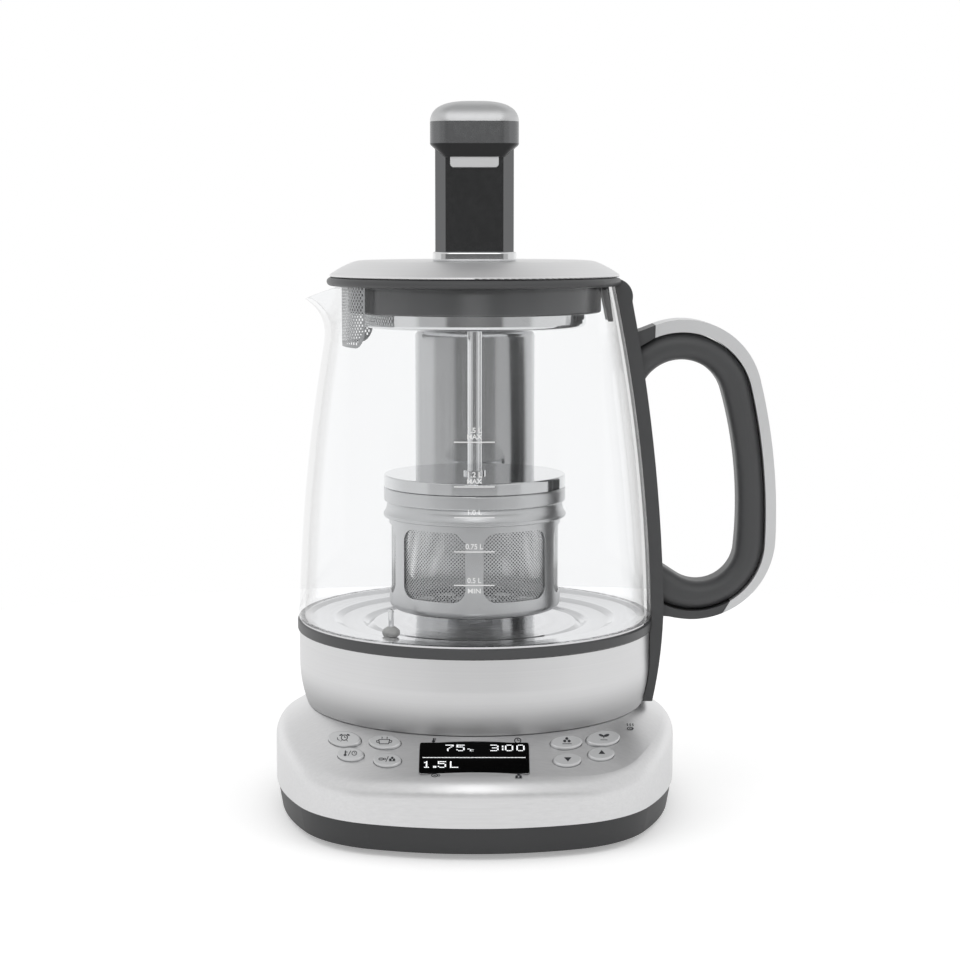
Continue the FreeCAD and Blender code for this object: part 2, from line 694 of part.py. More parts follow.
def make_buttons():
    for name, radius, angle, width, height in BUTTONS:
        button = Piece(name)
        button.body.Placement = on_panel(radius, angle)
        button.pad(button.sketch(at=d.button_rise).ellipse(width, height),
                   d.button_rise + d.base_wall + 0.6, down=True)
        button.soften(0.8, lambda edge: level(edge, d.button_rise))
        button.pad(button.sketch(at=-d.base_wall - 0.5).ellipse(width + 1.3, height + 0.3),
                   1.2, down=True)
        reach = (panel_height(Size.of(radius)) - STEM_END) / cosine(d.panel_slope)
        button.pad(button.sketch().circle(0, 0, 1.5), reach, down=True)


def make_power_board():
    board = Piece("power_board")
    deck = d.board_level - d.deck_drop
    y = POWER_BOARD_Y
    board.pad(board.sketch(at=deck).rectangle(84, 56, 4, y=y), d.board_thick)
    top = deck + d.board_thick
    board.pad(board.sketch(at=top).rectangle(19, 15, x=-28, y=y + 10), 15)
    board.pad(board.sketch(at=top).rectangle(24, 20, x=0, y=y + 8), 18)
    board.pad(board.sketch(at=top).circle(24, y + 14, 6), 16)
    board.pad(board.sketch(at=top).circle(24, y - 2, 5), 12)
    board.pad(board.sketch(at=top).rectangle(20, 8, x=-24, y=y - 18), 10)


def make_cord_gland():
    gland = Piece("cord_gland")
    y = d.base_depth / 2
    gland.pad(gland.front(-(y + 2.2)).circle(0, d.gland_level, 5.8), 2.2)
    gland.pad(gland.front(-(y + 1)).circle(0, d.gland_level, 5.0), 11)
    gland.pocket(gland.front(-(y + 3)).circle(0, d.gland_level, d.gland_bore), 20, up=True)


def make_coupler():
    socket = Piece("coupler_socket")
    face = d.base_top - d.seat_gap
    under = d.base_top - d.base_wall
    low = d.board_level + 4
    floor = face - 3
    socket.spin(socket.front().outline(
        (0, low), (20, low), (20, under - 3), (30, under - 3), (30, under),
        (d.socket_radius, under), (d.socket_radius, face), (d.socket_radius - 2.5, face),
        (d.socket_radius - 2.5, floor), (d.socket_wall_out, floor),
        (d.socket_wall_out, floor + 6), (d.socket_wall_in, floor + 6),
        (d.socket_wall_in, floor), (d.socket_boss, floor), (d.socket_boss, d.boss_top),
        (0, d.boss_top), (0, low)))
    socket.pocket(socket.sketch(at=d.boss_top + 1).circle(0, 0, d.cap_pin + d.run_gap), 14)
    cap = Piece("coupler_cap")
    rest = d.boss_top + 0.15
    cap.spin(cap.front().outline(
        (0, d.boss_top - 12), (d.cap_pin, d.boss_top - 12), (d.cap_pin, rest),
        (d.socket_boss - 0.4, rest), (d.socket_boss - 0.4, rest + d.cap_height - 0.8),
        (d.socket_boss - 1.2, rest + d.cap_height, 0.8), (0, rest + d.cap_height),
        (0, d.boss_top - 12)))
    cap.pocket(cap.sketch(at=rest + d.cap_height).rectangle(2, 9), 0.8)


# ----------------------------------------------------------------------- jug

def make_jug_foot():
    band = Piece("heater_band")
    wall = d.band_wall
    turn = arc_radius(d.skirt_turn - d.jug_foot, d.skirt_radius - d.foot_in_radius)
    band.spin(band.front().outline(
        (d.foot_in_radius - 3, d.jug_foot), (d.foot_in_radius, d.jug_foot),
        (d.skirt_radius, d.skirt_turn, turn), (d.skirt_radius, d.band_top),
        (d.skirt_radius - wall, d.band_top), (d.skirt_radius - wall, d.skirt_turn),
        (d.foot_in_radius - wall, d.jug_foot + wall, turn, "right"),
        (d.foot_in_radius - 3, d.jug_foot + wall), (d.foot_in_radius - 3, d.jug_foot)))
    holes = band.sketch("YZ_Plane", d.skirt_radius - 8)
    for height in HANDLE_SCREWS:
        holes.circle(0, height, 1.7)
    band.pocket(holes, 12, up=True)
    ring = Piece("base_ring")
    under = d.plate_rim - d.plate_thick
    ring.spin(ring.front().outline(
        (d.skirt_radius - 3, d.band_top), (d.ring_radius - 0.8, d.band_top),
        (d.ring_radius, d.band_top + 0.8, 0.8), (d.ring_radius, under - 0.8),
        (d.ring_radius - 0.8, under, 0.8), (d.skirt_radius - 3, under),
        (d.skirt_radius - 3, d.band_top)))
    ring_floor = Piece("jug_floor")
    low = d.jug_foot + wall
    ring_floor.spin(ring_floor.front().outline(
        (PLUG_RADIUS + 0.2, low), (d.foot_in_radius - 1.6, low),
        (d.foot_in_radius - 1.6, low + 2.2), (PLUG_RADIUS + 0.2, low + 2.2),
        (PLUG_RADIUS + 0.2, low)))
    ring_floor.around(ring_floor.pocket(
        ring_floor.sketch(at=low).circle(0, 27, 1.6), 3, up=True), 3)
    return band


PLUG_RADIUS = Size.of(22)
HANDLE_SCREWS = (d.jug_foot + d.handle_screw_in,
                 d.jug_foot + d.handle_screw_in + d.handle_screw_pitch)


def make_heating_plate():
    plate = Piece("heating_plate")
    top, thick = d.plate_level, d.plate_thick
    rim = d.plate_rim
    edge = d.glass_foot_radius - 0.3
    steps = ((edge - 35.1, 0), (edge - 32.6, -1.3), (edge - 30.1, 0.5), (edge - 20.1, 0.9),
             (edge - 16.6, 2.2), (edge - 6.1, 2.6))
    upper = [(radius, top + rise) for radius, rise in steps]
    lower = [(radius, top + rise - thick) for radius, rise in reversed(steps)]
    plate.spin(plate.front().outline(
        (0, top - thick), (0, top), *upper, (edge - 3.6, rim), (edge, rim),
        (edge, rim - thick), (edge - 3.2, rim - thick), *lower, (0, top - thick)))
    plate.pad(plate.sketch(at=PAD_UNDER).oval(
        d.pillar_width + 1.6, d.pillar_depth + 1.6, y=d.pillar_y), PILLAR_SEAT - PAD_UNDER)
    plate.pocket(plate.sketch(at=PILLAR_SEAT + 1).circle(0, d.pillar_y, 6), 6)
    plate.pocket(plate.sketch(at=top + 1).circle(PROBE[0], PROBE[1], PROBE_RADIUS + d.run_gap), 4)
    element = Piece("heating_element")
    level_ = top - thick - ELEMENT_TUBE - 0.1
    tube = element.sketch("YZ_Plane").circle(-ELEMENT_RADIUS, level_, ELEMENT_TUBE)
    element.spin(tube, 2 * ELEMENT_REACH)
    ends = element.sketch(at=level_)
    for side in (-1, 1):
        ends.circle(side * ELEMENT_RADIUS * sine(ELEMENT_REACH),
                    -ELEMENT_RADIUS * cosine(ELEMENT_REACH), 2.4)
    element.pad(ends, 9, down=True)
    return plate


PILLAR_SEAT = d.plate_level + 2.7
PAD_UNDER = d.plate_level - 2.1
ELEMENT_RADIUS = Size.of(38)
ELEMENT_TUBE = Size.of(3.3)
ELEMENT_REACH = 125.0
PROBE_REACH = d.glass_foot_radius - 25.26
PROBE = (-PROBE_REACH * sine(40.815), -PROBE_REACH * cosine(40.815))
PROBE_RADIUS = Size.of(1.2)


def make_probe():
    probe = Piece("temperature_probe", *PROBE)
    top = d.plate_level
    probe.spin(probe.front().outline(
        (0, top - 9), (2.6, top - 9), (2.6, top - 3.2), (PROBE_RADIUS, top - 3.2),
        (PROBE_RADIUS, top + 12.4), (0, top + 12.4 + PROBE_RADIUS, PROBE_RADIUS),
        (0, top - 9)))
    grommet = Piece("probe_grommet", *PROBE)
    bore = PROBE_RADIUS + d.run_gap
    top = d.plate_level + 0.95
    grommet.spin(grommet.front().outline(
        (bore, top), (3.2, top), (4.1, top + 2.0, 2.6), (3.0, top + 3.6, 2.0), (2.0, top + 4.4),
        (bore, top + 4.6), (bore, top)))


def make_plug():
    plug = Piece("coupler_plug")
    low = d.jug_foot + 0.4
    flange = d.jug_foot + d.band_wall + 2.3
    cap_room = d.boss_top + d.cap_height + 1
    ring_room = d.base_top + 4.2
    top = cap_room + 7
    plug.spin(plug.front().outline(
        (0, cap_room), (d.socket_boss + 0.7, cap_room), (d.socket_boss + 0.7, low),
        (d.socket_wall_in - 0.7, low), (d.socket_wall_in - 0.7, ring_room),
        (d.socket_wall_out + 0.7, ring_room), (d.socket_wall_out + 0.7, low),
        (PLUG_RADIUS, low), (PLUG_RADIUS, flange), (31, flange), (31, flange + 2),
        (PLUG_RADIUS, flange + 2), (PLUG_RADIUS, top), (0, top), (0, cap_room)))
    plug.pad(plug.sketch(at=top - 1).rectangle(40, 20, 2, y=-4), 13)
    plug.around(plug.pocket(plug.sketch(at=flange + 3).circle(0, 27, 1.6), 4), 3)
    screws = Piece("jug_screws")
    shank = screws.pad(screws.sketch(at=flange - 2.2).circle(0, 27, 1.5), 4.4)
    screws.around(shank, 3)
    head = screws.pad(screws.sketch(at=flange + 2).circle(0, 27, 2.6), 1.8)
    screws.around(head, 3)
    stats = Piece("thermostats")
    seat = top + 12
    discs = stats.sketch(at=seat)
    for side in (-1, 1):
        discs.circle(side * 11, -4, 7)
    stats.pad(discs, d.plate_level - d.plate_thick - seat)


# ---------------------------------------------------------------- glass, rim

def glass_profile(drawing, inset=0, over=None):
    """The jug's side arc from foot to rim, filled to the axis.

    With over given, the form runs on past both ends by that much.
    """
    foot, rim = d.glass_foot_radius - inset, d.glass_rim_radius - inset
    low, high = d.plate_rim, d.glass_top
    steps = [(foot, low), (rim, high, d.glass_curve - inset)]
    if over is not None:
        steps = [(foot, low - over), *steps, (rim, high + over)]
        low, high = low - over, high + over
    return drawing.outline((0, low), *steps, (0, high), (0, low))


# The spout's cross-sections: share of its reach beyond the rim, half width, and how far its
# bottom and its top lie below the rim
SPOUT = ((-0.5033, 21, 31.5, 0), (0.0196, 18, 21, 0.7), (0.3464, 14, 14.9, 2.3),
         (0.6732, 9, 10.9, 4.3), (1, 4.2, 8.6, 6.2))


def spout_section(piece, share, half, low, high, cut=0):
    """A circular segment with its chord on top; a cut makes it the room inside."""
    reach = d.glass_rim_radius + share * d.spout_reach
    bottom = d.glass_top - low + cut
    top = d.glass_top - high
    if cut:
        reach = reach - 4 if share < 0 else reach + 0.6
        half = half - min(cut, 2.0)
        top = d.glass_top + 16.5
    sag = top - bottom
    half = Size.of(half)
    radius = (half * half + sag * sag) / (2 * sag)
    return piece.sketch("YZ_Plane", -reach).outline(
        (-half, top), (0, bottom, radius), (half, top, radius), (-half, top))


def make_glass():
    jug = Piece("glass_jug")
    jug.spin(glass_profile(jug.front()))
    jug.loft([spout_section(jug, *section) for section in SPOUT])
    jug.spin(glass_profile(jug.front(), d.glass_wall, 1), cut=True)
    walls = (4.0, 2.6, 2.2, 1.8, 1.5)
    jug.loft([spout_section(jug, *section, wall) for section, wall in zip(SPOUT, walls)],
             cut=True)
    return jug


def make_rim_ring():
    ring = Piece("rim_ring")
    round_ = (d.rim_ring_top - d.glass_top) / 2
    outer = d.rim_ring_radius - round_
    inner = d.seal_radius + 1
    ring.spin(ring.front().outline(
        (inner, d.glass_top), (outer, d.glass_top), (outer + round_, d.glass_top + round_, round_),
        (outer, d.rim_ring_top, round_), (inner, d.rim_ring_top), (inner, d.glass_top)))
    ring.pocket(ring.sketch(at=d.rim_ring_top + 1).rectangle(
        24, d.strip_width + 0.4, x=d.rim_ring_radius - 2), 8)


def make_spout_filter():
    sieve = Piece("spout_filter")
    body = sieve.spin(sieve.front().outline(
        (-d.filter_radius, d.filter_bottom), (0.8 - d.filter_radius, d.filter_bottom),
        (0.8 - d.filter_radius, d.glass_top), (-d.filter_radius, d.glass_top),
        (-d.filter_radius, d.filter_bottom)), d.filter_angle)
    low = d.filter_bottom.value
    sieve.soften(9, lambda edge: (edge.BoundBox.ZLength < 0.01 and edge.Length < 1.5
                                  and edge.BoundBox.ZMin < low + 0.1))


# -------------------------------------------------------------------- handle

# Centres and radii of the handle's three lines: outside, seam between trim and grip, inside.
# The upper circle keeps its place to the glass's rim, the lower one to the steel skirt.


def handle_line(upper, lower, side):
    (x1, z1, r1), (x2, z2, r2) = upper, lower
    return ((d.glass_rim_radius + x1, d.glass_top - z1, Size.of(r1)),
            (d.skirt_radius + x2, d.plate_rim + z2, Size.of(r2)), Size.of(side))


OUTSIDE = handle_line((31.7, 52.2, 36.6), (18.8, 38.0, 39.2), 270)
SEAM = handle_line((30.9, 54.8, 33.0), (19.9, 36.0, 33.0), 270)
INSIDE = handle_line((30.8, 54.4, 20.0), (22.3, 33.65, 17.5), 200)


def grown(line, gap):
    """The same line with both its circles and its side arc moved outwards."""
    (x1, z1, r1), (x2, z2, r2), side = line
    return ((x1, z1, r1 + gap), (x2, z2, r2 + gap), side + gap)


def touch_points(line):
    """Where the side arc runs into the upper and the lower circle."""
    (x1, z1, r1), (x2, z2, r2), side = line
    dx, dz = x2 - x1, z2 - z1
    apart = root(dx * dx + dz * dz)
    near, far = side - r1, side - r2
    along = (near * near - far * far + apart * apart) / (2 * apart)
    off = root(near * near - along * along)
    cx = x1 + along * dx / apart + off * dz / apart
    cz = z1 + along * dz / apart - off * dx / apart
    return ((x1 + (x1 - cx) * r1 / near, z1 + (z1 - cz) * r1 / near),
            (x2 + (x2 - cx) * r2 / far, z2 + (z2 - cz) * r2 / far))


def on_circle(circle, angle):
    x, z, radius = circle
    return x + radius * cosine(angle), z + radius * sine(angle)


def strip_line():
    """Corner points of the strip's outer line, from its foot to its head."""
    out = d.strip_thick
    return ((d.foot_in_radius + out - 2.2, d.jug_foot + 0.4),
            (d.ring_radius + out - 1.5, d.plate_rim + 5.8),
            (d.glass_rim_radius + out + 0.9, d.glass_top - 7))


def strip_outline(drawing, inner):
    """The strip seen from the front, filled in to the given distance."""
    foot, waist, neck = strip_line()
    head = (neck[0] - 6.6, d.strip_top)
    return drawing.outline(
        (inner, foot[1]), foot, (waist[0], waist[1], 220), (neck[0], neck[1], 850),
        (head[0], head[1], 8.5), (inner, head[1]), (inner, foot[1]))


def make_handle_strip():
    strip = Piece("handle_strip")
    strip.pad(strip_outline(strip.front(), d.seal_radius + 3.3), d.strip_width, both=True)
    top, bottom = OUTSIDE[0], OUTSIDE[1]
    seam = grown(SEAM, d.trim_gap)
    stub = on_circle(top, 112)
    inner = on_circle(seam[0], 113)
    neck, high = d.glass_rim_radius, d.glass_top
    strip.pad(strip.front().outline(
        (neck + 6.3, high - 22.5), (neck + 13.3, high - 20.1), stub, inner,
        (neck + 6.3, high - 30.9), (neck + 6.3, high - 22.5)), d.handle_width, both=True)
    waist, low = d.skirt_radius, d.plate_rim
    lip = on_circle(bottom, -68)
    lip_in = on_circle(seam[1], -59)
    strip.pad(strip.front().outline(
        (waist - 1.1, low + 0.9), (waist + 8.4, low + 0.1), (bottom[0] - 1, low - 1.17, 60),
        (lip[0], lip[1], bottom[2]), lip_in, (*on_circle(seam[1], -120), seam[1][2], "right"),
        (waist - 1.1, low + 11), (waist - 1.1, low + 0.9)),
        d.handle_width, both=True)
    gap = d.seat_gap
    turn = arc_radius(d.skirt_turn - d.jug_foot, d.skirt_radius - d.foot_in_radius)
    strip.spin(strip.front().outline(
        (0, d.jug_foot - 10), (d.foot_in_radius + gap, d.jug_foot - 10),
        (d.foot_in_radius + gap, d.jug_foot),
        (d.skirt_radius + gap, d.skirt_turn, turn), (d.skirt_radius + gap, d.band_top),
        (d.ring_radius + 0.1, d.band_top), (d.ring_radius + 0.1, d.plate_rim),
        (d.glass_rim_radius + 0.2, d.glass_top, d.glass_curve),
        (0, d.glass_top), (0, d.jug_foot - 10)), cut=True)
    holes = strip.sketch("YZ_Plane", d.skirt_radius - 4)
    for height in HANDLE_SCREWS:
        holes.circle(0, height, 1.55)
    strip.pocket(holes, 6.1, up=True)
    screws = Piece("handle_screws")
    heads = screws.sketch("YZ_Plane", d.skirt_radius - 6)
    shanks = screws.sketch("YZ_Plane", d.skirt_radius - 5)
    for height in HANDLE_SCREWS:
        heads.circle(0, height, 2.8)
        shanks.circle(0, height, 1.5)
    screws.pad(heads, 2)
    screws.pad(shanks, 6.8)


def make_rim_keeper():
    keeper = Piece("rim_keeper")
    inner = d.seal_radius + 0.6
    glass = d.glass_rim_radius - d.glass_wall - 0.3
    low = d.glass_top - 16.5
    keeper.spin(keeper.front().outline(
        (inner, d.strip_top), (inner, d.glass_top - 1), (inner + 3.2, low),
        (glass + 2.4, low), (glass, d.glass_top), (inner + 2.4, d.glass_top),
        (inner + 2.4, d.strip_top), (inner, d.strip_top)), 20.0)
    return keeper


def make_handle_grip():
    grip = Piece("handle_grip")
    upper, lower = touch_points(SEAM)
    in_upper, in_lower = touch_points(INSIDE)
    r_top, r_low = SEAM[0][2], SEAM[1][2]
    neck, high = d.glass_rim_radius, d.glass_top
    waist, low = d.skirt_radius - 3.1, d.plate_rim
    grip.pad(grip.front().outline(
        (neck + 6.3, high - 31.2), on_circle(SEAM[0], 120.6), (*upper, r_top, "right"),
        (*lower, SEAM[2], "right"), (*on_circle(SEAM[1], -119), r_low, "right"),
        (waist, low + 10.9), (waist, low + 29.4), on_circle(INSIDE[1], -123.4),
        (*in_lower, INSIDE[1][2]), (*in_upper, INSIDE[2]),
        (*on_circle(INSIDE[0], 146), INSIDE[0][2]), (neck + 8.8, high - 51.6),
        (neck + 6.3, high - 31.2)), d.handle_width, both=True)
    wide, clear = d.handle_width.value / 2, d.skirt_radius.value + 0.9
    grip.soften(5.4, lambda edge: abs(abs(edge.CenterOfMass.y) - wide) < 0.01
                and edge.CenterOfMass.x > clear and edge.Length > 12)
    grip.pocket(strip_outline(grip.front(), d.seal_radius - 9), d.handle_width + 4, both=True)
    trim = Piece("handle_trim")
    out_upper, out_lower = touch_points(OUTSIDE)
    seam = grown(SEAM, d.trim_gap)
    seam_upper, seam_lower = touch_points(seam)
    trim.pad(trim.front().outline(
        on_circle(OUTSIDE[0], 111.6), (*out_upper, OUTSIDE[0][2], "right"),
        (*out_lower, OUTSIDE[2], "right"), (*on_circle(OUTSIDE[1], -67.6), OUTSIDE[1][2], "right"),
        on_circle(seam[1], -58.6), (*seam_lower, seam[1][2]), (*seam_upper, seam[2]),
        (*on_circle(seam[0], 112.6), seam[0][2]), on_circle(OUTSIDE[0], 111.6)),
        d.handle_width, both=True)
    return trim


# --------------------------------------------------------------------- drive

def make_pillar():
    pillar = Piece("drive_pillar", y=d.pillar_y)
    foot = PILLAR_SEAT + 1.2
    pillar.pad(pillar.sketch(at=foot).oval(d.pillar_width, d.pillar_depth), d.pillar_top - foot)
    pillar.soften(3, lambda edge: level(edge, d.pillar_top))
    pillar.pocket(pillar.sketch(at=foot).oval(
        d.pillar_width - 2 * d.pillar_wall, d.pillar_depth - 2 * d.pillar_wall),
        d.pillar_top - foot - d.pillar_wall, up=True)
    seal = Piece("pillar_seal", y=d.pillar_y)
    ring = seal.sketch(at=PILLAR_SEAT)
    ring.oval(d.pillar_width + 0.6, d.pillar_depth + 0.6)
    seal.pad(ring, 1.2)
    seal.pocket(seal.sketch(at=PILLAR_SEAT).oval(
        d.pillar_width - 8, d.pillar_depth - 8), 1.2, up=True)
    motor = Piece("lift_motor", y=d.pillar_y)
    motor.pad(motor.sketch(at=PAD_UNDER).circle(0, 0, 13), 6, down=True)
    motor.pad(motor.sketch(at=PAD_UNDER - 6).circle(0, 0, 11), 21, down=True)
    motor.pad(motor.sketch(at=PAD_UNDER - 1).circle(0, 0, 5), 3.4)
    motor.pocket(motor.sketch(at=PAD_UNDER + 3).circle(0, 0, d.screw_journal + d.run_gap), 8)
    screw = Piece("lead_screw", y=d.pillar_y)
    start = PILLAR_SEAT + 1.2
    end = d.pillar_top - d.pillar_wall - 7
    screw.spin(screw.front().outline(
        (0, start - 8), (d.screw_journal, start - 8), (d.screw_journal, start),
        (d.screw_thread, start), (d.screw_thread, end), (d.screw_journal, end),
        (d.screw_journal, end + 5), (0, end + 5), (0, start - 8)))
    bearing = Piece("screw_bearing", y=d.pillar_y)
    rest = end + 0.3
    bearing.pad(bearing.sketch(at=rest).oval(
        d.pillar_width - 2 * d.pillar_wall - 0.2, d.pillar_depth - 2 * d.pillar_wall - 0.2), 3)
    bearing.pad(bearing.sketch(at=rest).circle(0, 0, 5), d.pillar_top - d.pillar_wall - rest)
    bearing.pocket(bearing.sketch(at=rest).circle(0, 0, d.screw_journal + d.run_gap), 5.2, up=True)
    carriage = Piece("magnet_carriage", y=d.pillar_y)
    slack = 2 * (d.pillar_wall + d.slide_gap)
    carriage.pad(carriage.sketch(at=BRACKET_BOTTOM + 2).oval(
        d.pillar_width - slack, d.pillar_depth - slack), 24)
    carriage.pocket(carriage.sketch(at=BRACKET_BOTTOM).circle(
        0, 0, d.screw_thread + d.run_gap), 30, up=True)
    for side in (-1, 1):
        carriage.pocket(carriage.sketch(at=BRACKET_BOTTOM + 2).rectangle(
            10, 18, x=side * 15), 24, up=True)


BRACKET_BOTTOM = d.collar_bottom - d.bracket_height


# -------------------------------------------------------------------- basket

def make_basket():
    cup = Piece("basket_cup", y=-d.basket_y)
    wall, r = d.basket_wall, d.basket_radius
    bottom = d.basket_bottom
    neck = d.collar_top + 0.2
    cup.spin(cup.front().outline(
        (0, bottom), (r - 3, bottom), (r, bottom + 3, 3), (r, neck),
        (d.basket_rim - 0.9, neck), (d.basket_rim, neck + 0.9, 0.9),
        (d.basket_rim, d.rim_top - 0.9), (d.basket_rim - 0.9, d.rim_top, 0.9),
        (r - wall, d.rim_top), (r - wall, bottom + 3),
        (r - 3, bottom + wall, 2.2, "right"), (0, bottom + wall), (0, bottom)))
    # The windows are cut radially, so their width is set at the wall.
    pitch = 2 * r * sine(Size.of(180) / d.window_count)
    window = cup.pocket(cup.sketch("YZ_Plane", 0).rectangle(
        pitch - d.strip_between, d.window_top - d.window_bottom, 6,
        y=(d.window_top + d.window_bottom) / 2), 60, up=True)
    cup.around(window, d.window_count)
    cup.around(cup.pocket(cup.sketch(at=bottom).circle(14, 0, 4), 2, up=True), 6)
    cup.around(cup.pocket(cup.sketch(at=bottom).circle(27, 0, 4.5), 2, up=True), 12)
    mesh = Piece("basket_mesh", y=-d.basket_y)
    outer = r - wall
    mesh.spin(mesh.front().outline(
        (outer, d.window_bottom - 2.5), (outer, d.window_top + 3),
        (outer - 0.4, d.window_top + 3), (outer - 0.4, d.window_bottom - 2.5),
        (outer, d.window_bottom - 2.5)))


def make_carrier():
    ring = Piece("basket_carrier", y=-d.basket_y)
    bore = d.basket_radius + d.run_gap * 4
    low, high = d.collar_bottom, d.collar_top
    lip = d.basket_rim + 0.2
    ring.spin(ring.front().outline(
        (bore, low), (lip - 0.6, low), (lip, low + 0.6, 0.6), (lip, low + 1.6),
        (lip - 1.5, high - 1.6, 6, "right"), (lip - 1.9, high), (bore, high), (bore, low)))
    back = d.pillar_y - d.pillar_depth / 2 + d.basket_y - d.seat_gap
    thick = back - bore
    plate = ring.sketch("XZ_Plane", -back).rectangle(
        30, high - BRACKET_BOTTOM, 3, y=(high + BRACKET_BOTTOM) / 2)
    ring.pad(plate, thick)
    magnets = Piece("bracket_magnets", y=-d.basket_y)
    for height in (BRACKET_BOTTOM + 7, BRACKET_BOTTOM + 20):
        for side in (-1, 1):
            hole = ring.sketch("XZ_Plane", -back).circle(side * 7.5, height, 5)
            ring.pocket(hole, 1.8, up=True)
    seats = magnets.sketch("XZ_Plane", -back)
    for height in (BRACKET_BOTTOM + 7, BRACKET_BOTTOM + 20):
        for side in (-1, 1):
            seats.circle(side * 7.5, height, 4.95)
    magnets.pad(seats, 1.8)


def make_basket_lid():
    lid = Piece("basket_lid", y=-d.basket_y)
    r, top = d.basket_rim, d.basket_lid_top
    skirt = d.basket_radius - d.basket_wall - d.seat_gap
    low = d.rim_top + 0.15
    lid.spin(lid.front().outline(
        (0, top - 1), (r - 1, top - 1), (r - 1, low + 1), (skirt - 0.8, low + 1),
        (skirt - 0.8, low - 4), (skirt, low - 4), (skirt, low), (r, low), (r, top - 0.8),
        (r - 0.8, top, 0.8), (0, top), (0, top - 1)))
    lid.pad(lid.sketch(at=top - 1).circle(0, 0, 6.5), 4, down=True)
    lid.pad(lid.sketch(at=top - 0.5).circle(0, 0, 5.2), 2)
    lid.pocket(lid.sketch(at=top + 3).circle(0, 0, d.rod_radius - 1 + d.run_gap), 6.5)
    rod = Piece("lift_rod", y=-d.basket_y)
    rod.spin(rod.front().outline(
        (0, top - 3), (d.rod_radius - 1, top - 3), (d.rod_radius - 1, top + 1.5),
        (d.rod_radius, top + 1.5), (d.rod_radius, d.rod_top - d.rod_radius),
        (0, d.rod_top, d.rod_radius), (0, top - 3)))


# ----------------------------------------------------------------------- lid

def make_lid():
    disc = Piece("lid_cap")
    t = d.lid_sheet
    disc.spin(disc.front().outline(
        (0, d.lid_top - t), (d.lid_flat - 0.5, d.lid_top - t),
        (d.lid_radius - 1.4, d.lid_rim_top - t + 0.2), (d.lid_radius - 1.4, d.lid_rim),
        (d.lid_radius - 0.6, d.lid_rim), (d.lid_radius, d.lid_rim + 0.65, 0.7),
        (d.lid_radius - 0.4, d.lid_rim_top, 1.0), (d.lid_flat, d.lid_top, d.lid_curve),
        (0, d.lid_top), (0, d.lid_top - t)))
    disc.soften(12, lambda edge: level(edge, d.lid_top))
    disc.pocket(disc.sketch(at=d.lid_top + 1).circle(0, -d.basket_y, d.rod_bore), 4)
    for side in (-1, 1):
        disc.pocket(disc.sketch(at=d.lid_top + 1).circle(side * 12, -d.basket_y, 1.6), 4)
    seal = Piece("lid_seal")
    top = d.lid_rim_top - 1
    seal.spin(seal.front().outline(
        (d.cup_radius + 0.1, d.seal_bottom), (d.seal_radius - 1, d.seal_bottom),
        (d.seal_radius, d.seal_bottom + 1, 1), (d.seal_radius, top),
        (d.seal_radius - 2.5, top), (d.seal_radius - 2.5, d.seal_bottom + 2.5),
        (d.cup_radius + 0.1, d.seal_bottom + 2.5), (d.cup_radius + 0.1, d.seal_bottom)))
    cup = Piece("lid_cup")
    r, low = d.cup_radius, d.cup_bottom
    cup.spin(cup.front().outline(
        (0, low), (r - 2, low), (r, low + 2, 2), (r, d.lid_top - t), (r - t, d.lid_top - t),
        (r - t, low + 2), (r - 2, low + t, 1, "right"), (0, low + t), (0, low)))
    cup.pad(cup.sketch(at=low).circle(0, -d.basket_y, d.rod_bore + 1.6), 8)
    cup.pocket(cup.sketch(at=low - 1).circle(0, -d.basket_y, d.rod_bore), 10, up=True)


def tower_outline(drawing, depth=None):
    """The tower's plan: a flat face with two slanted corners and a round back."""
    w, face = d.tower_width / 2, d.tower_face / 2
    front, back = -d.tower_depth / 2, d.tower_depth / 2
    slant = w - face
    r = Size.of(7)
    return drawing.outline(
        (-face, front), (face, front), (w, front + slant), (w, back - r), (w - r, back, r),
        (r - w, back), (-w, back - r, r), (-w, front + slant), (-face, front))


def head_section(piece, height, width, depth, corner, shift=0):
    return piece.sketch(at=height).rectangle(width, depth, corner, y=-d.head_forward + shift)


